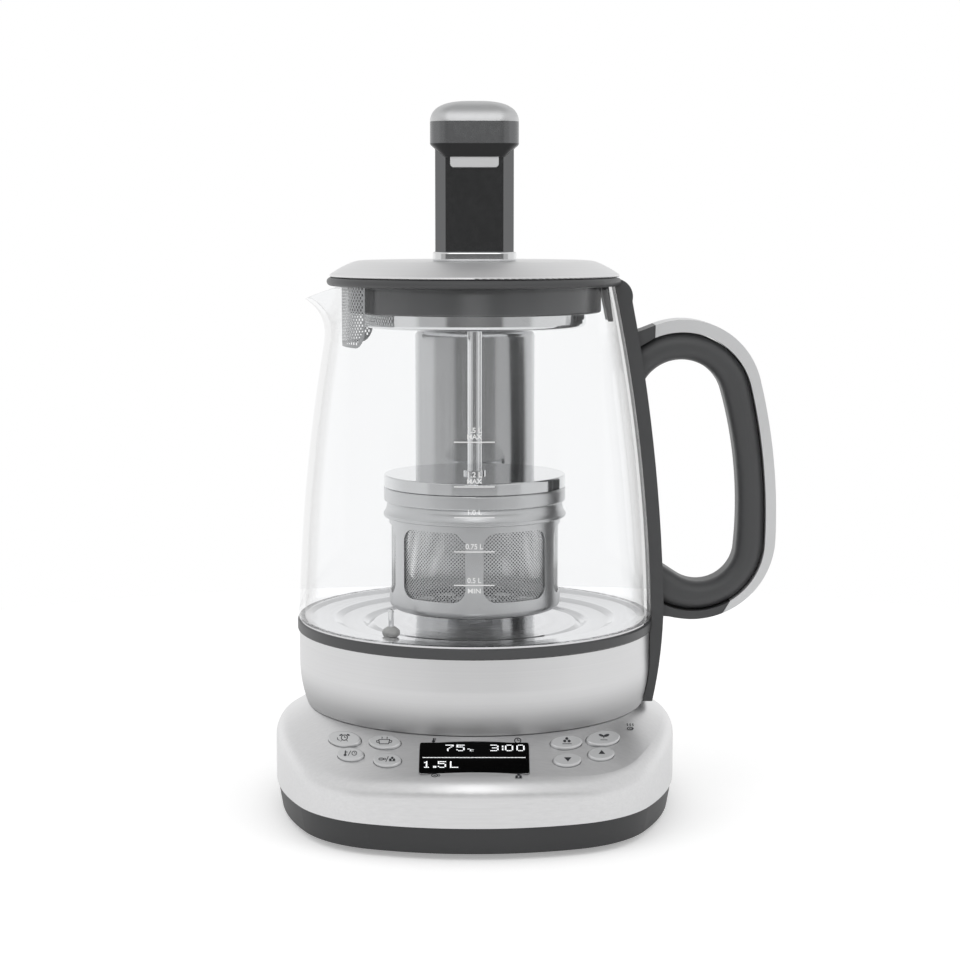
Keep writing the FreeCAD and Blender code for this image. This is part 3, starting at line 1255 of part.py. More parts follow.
def make_tower():
    y = -d.basket_y
    collar = Piece("tower_collar", y=y)
    collar.pad(collar.sketch(at=d.lid_top).rectangle(
        d.collar_width, d.tower_depth + 2.7, 8), d.collar_height)
    collar.soften(0.9, lambda edge: level(edge, d.lid_top + d.collar_height)
                  or level(edge, d.lid_top))
    collar.pocket(collar.sketch(at=d.lid_top - 1).circle(0, 0, d.rod_bore), 8, up=True)
    foot = d.lid_top + d.collar_height
    shell = Piece("tower_shell", y=y)
    shell.pad(tower_outline(shell.sketch(at=foot)), d.head_bottom - foot)
    shell.pocket(shell.sketch(at=foot - 1).circle(0, 0, d.rod_bore),
                 d.head_bottom - foot + 2, up=True)
    taper = taper_sections(shell)
    shell.loft(taper, cut=True)
    head = Piece("tower_head", y=y)
    head.pad(head_section(head, d.head_bottom, d.head_width, d.head_depth, d.head_corner),
             d.head_top - d.head_bottom)
    head.loft(taper_sections(head))
    head.pocket(head.sketch(at=d.taper_bottom - 1).circle(0, 0, d.rod_bore),
                d.head_top - d.taper_bottom + 2, up=True)
    front = -d.tower_depth / 2 - d.seat_gap
    head.pocket(head.sketch(at=d.taper_bottom - 1).rectangle(
        d.tongue_width + 2 * d.seat_gap, d.tongue_thick + 2 * d.seat_gap,
        y=front - d.tongue_thick / 2), d.tongue_top + d.tongue_travel + 0.5 - d.taper_bottom + 1,
        up=True)
    head.pocket(head.sketch(at=d.taper_bottom - 1).circle(0, front - d.tongue_thick / 2, 2.3),
                d.tongue_top + d.tongue_travel + 4 - d.taper_bottom, up=True)
    cap = Piece("tower_cap", y=y)
    cap.loft([head_section(cap, d.head_top, d.head_width, d.head_depth, d.head_corner),
              head_section(cap, d.head_top + d.dome_height * 0.45, d.head_width - 2.6,
                           d.head_depth - 2.6, d.head_corner - 1.3),
              head_section(cap, d.head_top + d.dome_height * 0.78, d.head_width - 10,
                           d.head_depth - 9, d.head_corner - 2),
              head_section(cap, d.head_top + d.dome_height, d.head_width - 26,
                           d.head_depth - 24, 5)])
    cap.pocket(cap.sketch(at=d.head_top - 1).circle(0, 0, d.rod_bore),
               d.bore_top - d.head_top + 1, up=True)
    screws = Piece("lid_screws", y=y)
    shanks = screws.sketch(at=d.lid_top - d.lid_sheet - 1)
    heads = screws.sketch(at=d.lid_top - d.lid_sheet - 2)
    for side in (-1, 1):
        shanks.circle(side * 12, 0, 1.5)
        heads.circle(side * 12, 0, 2.8)
    screws.pad(shanks, 9)
    screws.pad(heads, 2)
    for body in (collar, shell):
        holes = body.sketch(at=d.lid_top - 1)
        for side in (-1, 1):
            holes.circle(side * 12, 0, 1.55)
        body.pocket(holes, 9, up=True)


def taper_sections(piece):
    """The head's foot: it narrows from the head down to the tower's front."""
    return [head_section(piece, d.head_bottom, d.head_width, d.head_depth, d.head_corner),
            head_section(piece, d.taper_bottom, d.head_width - 13, d.head_depth - 9,
                         d.head_corner - 6, -2)]


def make_trigger():
    tongue = Piece("trigger", y=-d.basket_y)
    front = -d.tower_depth / 2 - d.seat_gap
    middle = (d.tongue_top + d.tongue_bottom) / 2
    tongue.pad(tongue.sketch("XZ_Plane", -front).rectangle(
        d.tongue_width, d.tongue_top - d.tongue_bottom, 1.6, y=middle), d.tongue_thick)
    spring = Piece("trigger_spring", y=-d.basket_y)
    spring.pad(spring.sketch(at=d.tongue_top).circle(0, front - d.tongue_thick / 2, 2.0),
               d.tongue_travel + 3)


def build():
    make_base_housing()
    make_base_skirt()
    make_base_feet()
    make_base_screws()
    make_display()
    make_control_board()
    make_buttons()
    make_power_board()
    make_cord_gland()
    make_coupler()
    make_jug_foot()
    make_heating_plate()
    make_probe()
    make_plug()
    make_glass()
    make_rim_ring()
    make_spout_filter()
    make_handle_strip()
    make_rim_keeper()
    make_handle_grip()
    make_pillar()
    make_basket()
    make_carrier()
    make_basket_lid()
    make_lid()
    make_tower()
    make_trigger()


def check():
    """Stops if any object failed or any piece isn't a sound solid."""
    doc.recompute()
    for item in doc.Objects:
        if "Invalid" in item.State or "Error" in item.State:
            raise ValueError(f"{item.Label} failed")
    for body in pieces:
        if body.Shape.isNull() or not body.Shape.isValid() or not body.Shape.Solids:
            raise ValueError(f"{body.Label} has no sound shape")


def write():
    os.makedirs("parts", exist_ok=True)
    for body in pieces:
        body.Shape.exportStep(f"parts/{body.Label}.step")


build()
check()
write()
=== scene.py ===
import math

import bmesh
import bpy
from mathutils import Matrix, Vector


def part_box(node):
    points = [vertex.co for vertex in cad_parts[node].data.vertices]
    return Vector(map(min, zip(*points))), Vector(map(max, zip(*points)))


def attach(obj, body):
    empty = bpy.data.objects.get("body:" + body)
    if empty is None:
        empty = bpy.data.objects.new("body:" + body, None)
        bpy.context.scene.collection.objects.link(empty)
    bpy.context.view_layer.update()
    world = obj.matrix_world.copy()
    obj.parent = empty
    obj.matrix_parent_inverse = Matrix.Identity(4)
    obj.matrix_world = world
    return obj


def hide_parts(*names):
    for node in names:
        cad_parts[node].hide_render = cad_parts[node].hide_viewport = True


bl_info = {
    "name": "Tea maker looks",
    "version": (1, 0, 0),
    "blender": (4, 5, 0),
    "location": "3D View > Sidebar > Tea maker",
    "description": "Finishes, glass, sieves and markings for the packed tea maker",
    "category": "Object",
}

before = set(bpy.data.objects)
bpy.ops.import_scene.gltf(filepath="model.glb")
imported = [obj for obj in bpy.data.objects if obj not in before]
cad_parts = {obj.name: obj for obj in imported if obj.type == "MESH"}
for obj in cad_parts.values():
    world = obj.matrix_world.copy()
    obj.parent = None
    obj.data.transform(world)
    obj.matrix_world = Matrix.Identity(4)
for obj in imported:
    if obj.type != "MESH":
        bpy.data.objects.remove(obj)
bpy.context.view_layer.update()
MM = 0.001

# Sizes that the CAD part is built to
BASE_TOP = 49.5 * MM
PANEL_START = 79.5 * MM
PANEL_SLOPE = math.radians(31.5)
DISPLAY_RADIUS = 90.0 * MM
DISPLAY_HEIGHT = BASE_TOP - (DISPLAY_RADIUS - PANEL_START) * math.tan(PANEL_SLOPE)
GLASS_LOW = (83.4 * MM, 90.2 * MM)      # outside radius and height of the glass's foot
GLASS_HIGH = (65.7 * MM, 245.5 * MM)    # and of its rim
GLASS_CURVE = 850 * MM                  # radius of the bulge between them
GLASS_WALL = 3.0 * MM
HEAD_FOOT = 309.6 * MM                  # lower edge of the tower's head

# Levels of the printed signs above the panel, in millimetres
KEY_FACE = 1.33
PANEL_FACE = 0.08

# How steeply a user in front looks down on the panel
USER_LOOKS_DOWN = math.radians(14.5)


# ------------------------------------------------------------------ materials

class Reading:
    """A number that a material works out; Python's operators add its Math nodes."""

    def __init__(self, finish, socket):
        self.finish = finish
        self.socket = socket

    def maths(self, operation, *numbers):
        node = self.finish.add("ShaderNodeMath", {"operation": operation}, dict(enumerate(numbers)))
        return Reading(self.finish, node.outputs[0])

    def __add__(self, other):
        return self.maths("ADD", self, other)

    def __radd__(self, other):
        return self.maths("ADD", other, self)

    def __sub__(self, other):
        return self.maths("SUBTRACT", self, other)

    def __rsub__(self, other):
        return self.maths("SUBTRACT", other, self)

    def __mul__(self, other):
        return self.maths("MULTIPLY", self, other)

    def __rmul__(self, other):
        return self.maths("MULTIPLY", other, self)

    def __pow__(self, other):
        return self.maths("POWER", self, other)

    def __abs__(self):
        return self.maths("ABSOLUTE", self)

    def turn(self, other):
        """Angle of the direction that leans this far towards one side and the other ahead."""
        return self.maths("ARCTAN2", self, other)

    def ramp(self, low, high):
        """0 below low, 1 above high and smooth between them."""
        node = self.finish.add(
            "ShaderNodeMapRange", {"interpolation_type": "SMOOTHSTEP", "clamp": True},
            {"Value": self, "From Min": low, "From Max": high, "To Min": 0.0, "To Max": 1.0})
        return Reading(self.finish, node.outputs[0])


class Finish:
    """A node tree under construction, for a material or for the world."""

    def __init__(self, owner):
        owner.use_nodes = True
        self.owner = owner
        self.tree = owner.node_tree
        self.tree.nodes.clear()

    def add(self, kind, settings=None, inputs=None):
        """A new node with its settings, then its sockets' values or links."""
        node = self.tree.nodes.new(kind)
        for name, value in (settings or {}).items():
            setattr(node, name, value)
        for key, value in (inputs or {}).items():
            if isinstance(value, Reading):
                value = value.socket
            if isinstance(value, bpy.types.NodeSocket):
                self.tree.links.new(value, node.inputs[key])
            else:
                node.inputs[key].default_value = value
        return node

    def place(self, scale=(1, 1, 1)):
        """Object coordinates in metres, scaled along each axis."""
        here = self.add("ShaderNodeTexCoord").outputs["Object"]
        return self.add("ShaderNodeMapping", {}, {"Vector": here, "Scale": scale}).outputs["Vector"]

    def axes(self, vector):
        """The three numbers of a vector."""
        parts = self.add("ShaderNodeSeparateXYZ", {}, {"Vector": vector})
        return [Reading(self, part) for part in parts.outputs]

    def noise(self, vector, scale, detail, rough=0.55):
        node = self.add("ShaderNodeTexNoise", {}, {
            "Vector": vector, "Scale": scale, "Detail": detail, "Roughness": rough})
        return Reading(self, node.outputs[0])

    def rays(self):
        """Whether a ray is the eye's own, also through glass, and whether it is mirrored."""
        path = self.add("ShaderNodeLightPath")
        camera, through, mirrored = (Reading(self, path.outputs[name]) for name in (
            "Is Camera Ray", "Is Transmission Ray", "Is Glossy Ray"))
        return (camera + through).ramp(0.0, 1.0), mirrored

    def blend(self, share, first, second):
        """A colour between two others."""
        node = self.add("ShaderNodeMix", {"data_type": "RGBA"}, {0: share, 6: first, 7: second})
        return node.outputs[2]

    def mix(self, share, first, second):
        """A shader between two others."""
        return self.add("ShaderNodeMixShader", {}, {0: share, 1: first, 2: second}).outputs[0]

    def bump(self, height, strength, distance):
        return self.add("ShaderNodeBump", {}, {
            "Height": height, "Strength": strength, "Distance": distance}).outputs["Normal"]

    def principled(self, **inputs):
        named = {name.replace("_", " ").title().replace("Ior", "IOR"): value
                 for name, value in inputs.items()}
        return self.add("ShaderNodeBsdfPrincipled", {}, named).outputs["BSDF"]

    def surface(self, shader):
        kind = "World" if isinstance(self.owner, bpy.types.World) else "Material"
        self.add(f"ShaderNodeOutput{kind}", {}, {"Surface": shader})
        return self.owner


def material(name):
    return Finish(bpy.data.materials.new(name))


def grey(level):
    return (level, level, level, 1.0)


def times(colour, share):
    """A colour made darker or lighter, as a socket takes it."""
    return tuple(min(1.0, c * share) for c in colour) + (1.0,)


# Fineness of the grain along X, Y and Z
GRAIN_ACROSS = (6, 900, 900)
GRAIN_UP = (900, 900, 12)
GRAIN_LEVEL = (8, 8, 1200)
GRAIN_EVEN = (300, 300, 300)


def steel(name, colour, roughness, grain, strength=0.04, contrast=0.10, around=False,
          metallic=1.0, foot=None):
    """Metal with fine grain lines, straight or, with around, in rings about the axis.

    The foot is a height, the height where the full tone is reached, and the tone below; it paints
    shade, darkening the metal towards its foot, where it is also made rougher.
    """
    foot_rougher, line_rougher, cloud_rougher = 0.15, 0.12, 0.06
    m = material(name)
    if around:
        x, y, _ = m.axes(m.add("ShaderNodeTexCoord").outputs["Object"])
        reach = (x * x + y * y) ** 0.5
        joined = m.add("ShaderNodeCombineXYZ", {}, {"X": reach, "Y": 0.0, "Z": 0.0})
        vector = m.add("ShaderNodeVectorMath", {"operation": "MULTIPLY"}, {
            0: joined.outputs[0], 1: grain}).outputs[0]
    else:
        vector = m.place(grain)
    lines = m.noise(vector, 1.0, 4.0, 0.7)
    cloud = m.noise(m.place(), 14.0, 2.0)
    tone = m.blend(lines, times(colour, 1 - contrast), times(colour, 1 + contrast))
    # Painted shade: below the foot's heights the colour darkens to the given share, standing in for
    # shade and darker reflections low on the part
    if foot:
        low, high, share = foot
        unshaded = m.axes(m.place())[2].ramp(low, high)
        tone = m.blend(unshaded, times(colour, share), tone)
        roughness = roughness + (1.0 - unshaded) * foot_rougher
    return m.surface(m.principled(
        base_color=tone, metallic=metallic,
        roughness=(lines - 0.5) * line_rougher + (cloud - 0.5) * cloud_rougher + roughness,
        normal=m.bump(lines, strength, 0.2 * MM)))


def plastic(name, colour, roughness, grain=1400.0, strength=0.12, contrast=0.08, metallic=0.0,
            sheen=0.5):
    """Moulded plastic with a fine grain and faint wear."""
    m = material(name)
    dots = m.noise(m.place(), grain, 2.0)
    cloud = m.noise(m.place(), 18.0, 4.0)
    return m.surface(m.principled(
        base_color=m.blend(cloud, times(colour, 1 - contrast), times(colour, 1 + contrast)),
        metallic=metallic, roughness=roughness + (cloud - 0.5) * 0.10, specular_ior_level=sheen,
        normal=m.bump(dots, strength, 0.1 * MM)))


def clear_glass(name, colour):
    """Clear glass: see-through, a sheen that grows towards its edges and a painted grey band there,
    a painted reflection of the darker room that the glass's edges show.
    """
    face_on, edge_on, growth = 0.018, 0.5, 5.0
    m = material(name)
    facing = Reading(m, m.add("ShaderNodeLayerWeight", {}, {"Blend": 0.5}).outputs["Facing"])
    # Painted reflection: a grey band where the glass turns away, standing in for the darker room
    # seen in its edges
    painted_band = facing.ramp(0.60, 0.72) - facing.ramp(0.84, 0.95)
    clear, painted_grey = (m.add("ShaderNodeBsdfTransparent", {}, {"Color": tint}).outputs[0]
                     for tint in ((*colour, 1.0), grey(0.93)))
    sheen = m.principled(base_color=grey(0.95), metallic=1.0, roughness=0.02)
    share = face_on + (facing ** growth) * edge_on
    return m.surface(m.mix(share, m.mix(painted_band, clear, painted_grey), sheen))


def window_glass(name):
    """Black glass in front; its sides are bare metal like the panel round it."""
    m = material(name)
    _, y, z = m.axes(m.place())
    above_panel = ((z - DISPLAY_HEIGHT) * math.cos(PANEL_SLOPE)
                   - (y + DISPLAY_RADIUS) * math.sin(PANEL_SLOPE))
    front = above_panel.ramp(-0.9 * MM, -0.75 * MM)
    speck = m.noise(m.place(), 300.0, 2.0)
    return m.surface(m.principled(
        base_color=m.blend(front, grey(0.6), grey(0.0015)), metallic=1.0 - front,
        roughness=0.36 - front * 0.22 + speck * 0.03, specular_ior_level=0.04))


def glowing(name, colour, strength):
    m = material(name)
    flicker = m.noise(m.place(), 900.0, 1.0)
    shade = m.blend(flicker, times(colour, 0.9), (*colour, 1.0))
    return m.surface(m.principled(
        base_color=shade, roughness=0.5, emission_color=shade, emission_strength=strength))


def make_finishes(look):
    """Every finish by name; the plain names are the record's slots."""
    steel_tone, dark = tuple(look.steel), tuple(look.dark_plastic)
    return {
        "steel_brushed": steel("SatinSteel", steel_tone, 0.34, GRAIN_ACROSS),
        # The foot paints shade: the band's lower, inward-turned edge is darker, standing in for the
        # darker reflections it catches near the base
        "steel_band": steel("BandSteel", (0.70, 0.70, 0.705), 0.32, (5, 5, 1400), 0.03, 0.06,
                            foot=(52 * MM, 70 * MM, 0.62)),
        "steel_disc": steel("TurnedSteel", (0.87, 0.87, 0.875), 0.46, (1500, 0, 0), around=True),
        "steel_bright": steel("PolishedSteel", (0.78, 0.785, 0.79), 0.10, (30, 30, 60), 0.01, 0.03),
        "steel_pillar": steel("PillarSteel", (0.62, 0.625, 0.63), 0.15, GRAIN_UP, 0.02, 0.05),
        "steel_plate": steel("MirrorSteel", (0.68, 0.68, 0.69), 0.08, (170, 0, 0), 0.9, 0.22,
                             around=True),
        "steel_basket": steel("BasketSteel", (0.62, 0.625, 0.63), 0.32, GRAIN_LEVEL, 0.005, 0.02),
        "steel_cover": steel("CoverSteel", (0.70, 0.705, 0.71), 0.09, GRAIN_LEVEL, 0.005, 0.02),
        "steel_cap": steel("CapPaint", (0.64, 0.645, 0.65), 0.42, GRAIN_EVEN, 0.01, 0.02),
        # The foot paints shade: the sieve grows darker towards its lower edge
        "steel_sieve": steel("SieveSteel", (0.66, 0.665, 0.67), 0.34, GRAIN_LEVEL, 0.01, 0.03,
                             foot=(113 * MM, 121 * MM, 0.72)),
        "steel_filter": steel("FilterSteel", (0.34, 0.345, 0.35), 0.40, GRAIN_LEVEL, 0.01, 0.03),
        "dark_plastic": plastic("DarkPlastic", dark, 0.42),
        # The foot paints the taper under the head much darker: partly a darker part like the
        # column, partly painted shade where the taper faces down
        "dark_head": steel("HeadPaint", (0.19, 0.193, 0.197), 0.26, GRAIN_EVEN, 0.01, 0.03,
                           metallic=0.8, foot=(HEAD_FOOT, HEAD_FOOT + 0.4 * MM, 0.15)),
        "dark_column": steel("ColumnPaint", (0.17, 0.172, 0.175), 0.14, GRAIN_EVEN, 0.01, 0.03),
        "dark_tray": plastic("TrayPlastic", (0.054, 0.0545, 0.056), 0.48, sheen=0.3),
        "dark_gloss": plastic("DarkGloss", (0.028, 0.029, 0.031), 0.20, 600.0, 0.02),
        "clear_glass": clear_glass("JugGlass", tuple(look.glass)),
        "display_glass": window_glass("DisplayGlass"),
        "silver_plastic": plastic("SilverPaint", (0.62, 0.625, 0.63), 0.32, 2200.0, 0.03, 0.04,
                                  metallic=0.5),
        "silver_trim": plastic("TrimPaint", (0.74, 0.745, 0.75), 0.36, 2200.0, 0.03, 0.04,
                               metallic=0.4),
        "soft_rubber": plastic("DarkSilicone", (0.05, 0.051, 0.053), 0.26, 900.0, 0.02,
                               sheen=0.9),
        "silicone": plastic("PaleSilicone", (0.42, 0.42, 0.41), 0.35, 900.0, 0.05),
        "board_green": plastic("BoardLacquer", (0.02, 0.14, 0.06), 0.30, 500.0, 0.05),
        "white_plastic": plastic("WhitePlastic", (0.78, 0.78, 0.76), 0.40),
        "plated_steel": steel("PlatedSteel", (0.60, 0.60, 0.57), 0.28, (200, 200, 200), 0.03),
        "lens_black": plastic("BlackLens", (0.015, 0.015, 0.017), 0.12, 500.0, 0.01),
        "tin_element": steel("ElementTube", (0.55, 0.55, 0.56), 0.36, GRAIN_EVEN, 0.05),
        "mark_white": plastic("MarkInk", (0.92, 0.92, 0.92), 0.50, 1500.0, 0.03, 0.02),
        "icon_ink": plastic("IconInk", (0.035, 0.036, 0.04), 0.50, 1500.0, 0.03, 0.05, sheen=0.2),
        "dot_glow": glowing("DotGlow", (0.92, 0.94, 0.95), 0.75),
    }


# Nodes whose finish isn't the one that their slot in the record names
FINISH_OF_NODE = {
    "heater_band": "steel_band", "lid_cap": "steel_disc", "heating_plate": "steel_plate",
    "drive_pillar": "steel_pillar", "base_skirt": "dark_tray", "tower_head": "dark_head",
    "tower_shell": "dark_column", "handle_trim": "silver_trim", "trigger": "silver_trim",
    "basket_cup": "steel_basket", "basket_carrier": "steel_basket",
    "basket_lid": "steel_cover", "tower_cap": "steel_cap",
}
finishes = {}


# ------------------------------------------------------------------ mesh tools

def finish_piece(name, form, body, finish, stands_for=(), smooth=True):
    """Makes a bmesh a piece of the object that rides on a CAD body."""
    mesh = bpy.data.meshes.new(name)
    form.to_mesh(mesh)
    form.free()
    mesh.materials.append(finishes[finish])
    mesh.polygons.foreach_set("use_smooth", [smooth] * len(mesh.polygons))
    piece = bpy.data.objects.new(name, mesh)
    bpy.context.scene.collection.objects.link(piece)
    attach(piece, body)
    if stands_for:
        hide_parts(*stands_for)


def spun(profile, steps):
    """A closed form spun from a closed profile of (radius, height) points."""
    form = bmesh.new()
    verts = [form.verts.new((r, 0, z)) for r, z in profile]
    edges = [form.edges.new(pair) for pair in zip(verts, verts[1:] + verts[:1])]
    bmesh.ops.spin(form, geom=verts + edges, cent=(0, 0, 0), axis=(0, 0, 1),
                   angle=math.tau, steps=steps, use_merge=True, use_duplicate=False)
    bmesh.ops.remove_doubles(form, verts=form.verts, dist=1e-7)
    bmesh.ops.recalc_face_normals(form, faces=form.faces)
    # The spin's faces and edges come in another order each time, so they are sorted
    form.verts.index_update()
    count = len(form.verts)
    for items in (form.edges, form.faces):
        items.sort(key=lambda item: min(v.index for v in item.verts) * count
                   + max(v.index for v in item.verts))
    return form


def side_arc(low, high, radius, count):
    """Points along the arc that bulges outwards from low to high."""
    (r0, z0), (r1, z1) = low, high
    chord = math.hypot(r1 - r0, z1 - z0)
    out = ((z1 - z0) / chord, (r0 - r1) / chord)
    deep = math.sqrt(radius ** 2 - chord ** 2 / 4)
    centre = ((r0 + r1) / 2 - out[0] * deep, (z0 + z1) / 2 - out[1] * deep)
    begin = math.atan2(z0 - centre[1], r0 - centre[0])
    end = math.atan2(z1 - centre[1], r1 - centre[0])
    angles = [begin + (end - begin) * i / count for i in range(count + 1)]
    return [(centre[0] + radius * math.cos(a), centre[1] + radius * math.sin(a)) for a in angles]


def glass_radius(height):
    """Outside radius of the jug's glass at a height."""
    points = side_arc(GLASS_LOW, GLASS_HIGH, GLASS_CURVE, 60)
    for (r0, z0), (r1, z1) in zip(points, points[1:]):
        if z0 <= height <= z1:
            return r0 + (r1 - r0) * (height - z0) / (z1 - z0)
    raise ValueError("the height is off the glass")


def sieve_sheet(across, rows, pitch, web, solid):
    """A flat sheet of square cells, every other one pierced where solid(x, y) is false."""
    form = bmesh.new()
    bmesh.ops.create_grid(form, x_segments=across, y_segments=rows, size=0.5)
    bmesh.ops.scale(form, vec=(across * pitch, rows * pitch, 1), verts=form.verts)
    pierced = []
    for face in form.faces:
        centre = face.calc_center_median()
        i = round(centre.x / pitch + across / 2 - 0.5)
        k = round(centre.y / pitch + rows / 2 - 0.5)
        if (i + k) % 2 == 0 and not solid(centre.x, centre.y):
            pierced.append(face)
    bmesh.ops.inset_individual(form, faces=pierced, thickness=web * pitch)
    bmesh.ops.delete(form, geom=pierced, context="FACES")
    return form


def panel_matrix(radius, angle, out):
    """Placement on the base's sloped panel: local Z out of it, local Y up the slope."""
    round_ = Matrix.Rotation(math.radians(angle), 4, "Z")
    turn = round_ @ Matrix.Rotation(PANEL_SLOPE, 4, "X")
    drop = (radius - PANEL_START) * math.tan(PANEL_SLOPE)
    place = round_ @ Vector((0, -radius, BASE_TOP - drop))
    return Matrix.Translation(place + turn.to_3x3() @ Vector((0, 0, out))) @ turn


def upright(radius, angle, out):
    """Placement on the panel, in millimetres, of a sign that a user in front sees upright."""
    a = math.radians(angle)
    rise = (math.cos(a) * math.cos(PANEL_SLOPE) * math.sin(USER_LOOKS_DOWN)
            + math.sin(PANEL_SLOPE) * math.cos(USER_LOOKS_DOWN))
    across = Vector((1, -math.sin(a) * math.sin(USER_LOOKS_DOWN) / rise, 0)).normalized()
    upward = Vector((math.tan(a) * math.cos(PANEL_SLOPE), 1, 0)).normalized()
    lean = Matrix((across, upward, (0, 0, 1))).transposed().to_4x4()
    return panel_matrix(radius * MM, angle, out * MM) @ lean


class Drawing:
    """Flat printed shapes in one bmesh, in millimetres on the local XY plane."""

    RING_SIDES = 24
    FATTER = 0.02            # how much the lettering is thickened

    def __init__(self):
        self.form = bmesh.new()

    def grow(self, made, x, y, turn, size):
        """Sizes, turns and then moves what an operator has just made."""
        verts = made["verts"]
        bmesh.ops.scale(self.form, vec=(size[0], size[1], 1), verts=verts)
        bmesh.ops.rotate(self.form, cent=(0, 0, 0), verts=verts,
                         matrix=Matrix.Rotation(turn, 3, "Z"))
        bmesh.ops.translate(self.form, vec=(x, y, 0), verts=verts)
        return self

    def disc(self, x, y, radius, sides=20, size=(1, 1), turn=0.0):
        made = bmesh.ops.create_circle(self.form, cap_ends=True, radius=radius, segments=sides)
        return self.grow(made, x, y, turn, size)

    def ring(self, x, y, radius, width, size=(1, 1)):
        outer, inner = (
            bmesh.ops.create_circle(self.form, radius=r, segments=self.RING_SIDES)["verts"]
            for r in (radius, radius - width))
        rims = {e for v in outer + inner for e in v.link_edges}
        bmesh.ops.bridge_loops(self.form, edges=list(rims))
        return self.grow({"verts": outer + inner}, x, y, 0.0, size)

    def bar(self, x0, y0, x1, y1, width):
        made = bmesh.ops.create_grid(self.form, x_segments=1, y_segments=1, size=0.5)
        long = math.hypot(x1 - x0, y1 - y0)
        return self.grow(made, (x0 + x1) / 2, (y0 + y1) / 2, math.atan2(y1 - y0, x1 - x0),
                         (long, width))

    def line(self, points, width):
        for (x0, y0), (x1, y1) in zip(points, points[1:]):
            self.bar(x0, y0, x1, y1, width)
        return self

    def text(self, words, x, y, height, width):
        """Plain lettering centred on x, with its foot at y."""
        curve = bpy.data.curves.new("words", "FONT")
        curve.body = words
        curve.align_x = "CENTER"
        curve.offset = self.FATTER
        holder = bpy.data.objects.new("words", curve)
        mesh = bpy.data.meshes.new_from_object(holder)
        bpy.data.objects.remove(holder)
        bpy.data.curves.remove(curve)
        before = set(self.form.verts)
        self.form.from_mesh(mesh)
        bpy.data.meshes.remove(mesh)
        verts = [v for v in self.form.verts if v not in before]
        low = min(v.co.y for v in verts)
        tall = max(v.co.y for v in verts) - low
        wide = max(v.co.x for v in verts) - min(v.co.x for v in verts)
        bmesh.ops.translate(self.form, vec=(0, -low, 0), verts=verts)
        return self.grow({"verts": verts}, x, y, 0.0, (width / wide, height / tall))

    def placed(self, matrix):
        """The finished bmesh, in metres, under a placement."""
        bmesh.ops.transform(self.form, matrix=matrix @ Matrix.Scale(MM, 4), verts=self.form.verts)
        return self.form


# ------------------------------------------------------------------ properties

class TeaMakerLook(bpy.types.PropertyGroup):
    """Colours of the finishes."""

    steel: bpy.props.FloatVectorProperty(
        name="Steel", description="Colour of the satin steel", subtype="COLOR",
        size=3, min=0.0, max=1.0, default=(0.74, 0.74, 0.745))
    dark_plastic: bpy.props.FloatVectorProperty(
        name="Dark plastic", description="Colour of handle, rings and base tray",
        subtype="COLOR", size=3, min=0.0, max=1.0, default=(0.067, 0.068, 0.07))
    glass: bpy.props.FloatVectorProperty(
        name="Glass", description="Tint of the jug's glass", subtype="COLOR",
        size=3, min=0.0, max=1.0, default=(0.988, 0.99, 0.992))
    floor: bpy.props.FloatVectorProperty(
        name="Floor", description="Colour of the studio floor", subtype="COLOR",
        size=3, min=0.0, max=1.0, default=(0.92, 0.92, 0.92))


class TeaMakerShape(bpy.types.PropertyGroup):
    """Sizes of the pieces made here."""

    spout_reach: bpy.props.FloatProperty(
        name="Spout reach", description="How far the lip is drawn out at the spout",
        default=14.6 * MM, min=0.0, unit="LENGTH")
    spout_drop: bpy.props.FloatProperty(
        name="Spout drop", description="How far the spout's tip hangs below the rim",
        default=6.0 * MM, min=0.0, unit="LENGTH")
    spout_spread: bpy.props.FloatProperty(
        name="Spout spread", description="Half width of the spout, as an angle round the jug",
        default=math.radians(9.5), min=0.01, subtype="ANGLE")
    sieve_cells: bpy.props.IntProperty(
        name="Sieve cells", description="Cells round the basket's sieve, an even number",
        default=288, min=40)
    filter_cells: bpy.props.IntProperty(
        name="Filter cells", description="Cells along the spout filter", default=58, min=10)


# ------------------------------------------------------------------- operators

class TEAMAKER_OT_finishes(bpy.types.Operator):
    """Gives every CAD node its finish"""

    bl_idname = "teamaker.finishes"
    bl_label = "Finishes"

    def execute(self, context):
        finishes.update(make_finishes(context.scene.tea_look))
        for name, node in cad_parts.items():
            slot = node.material_slots[0]
            slot.material = finishes[FINISH_OF_NODE.get(name, slot.material.name.split(".")[0])]
        return {"FINISHED"}


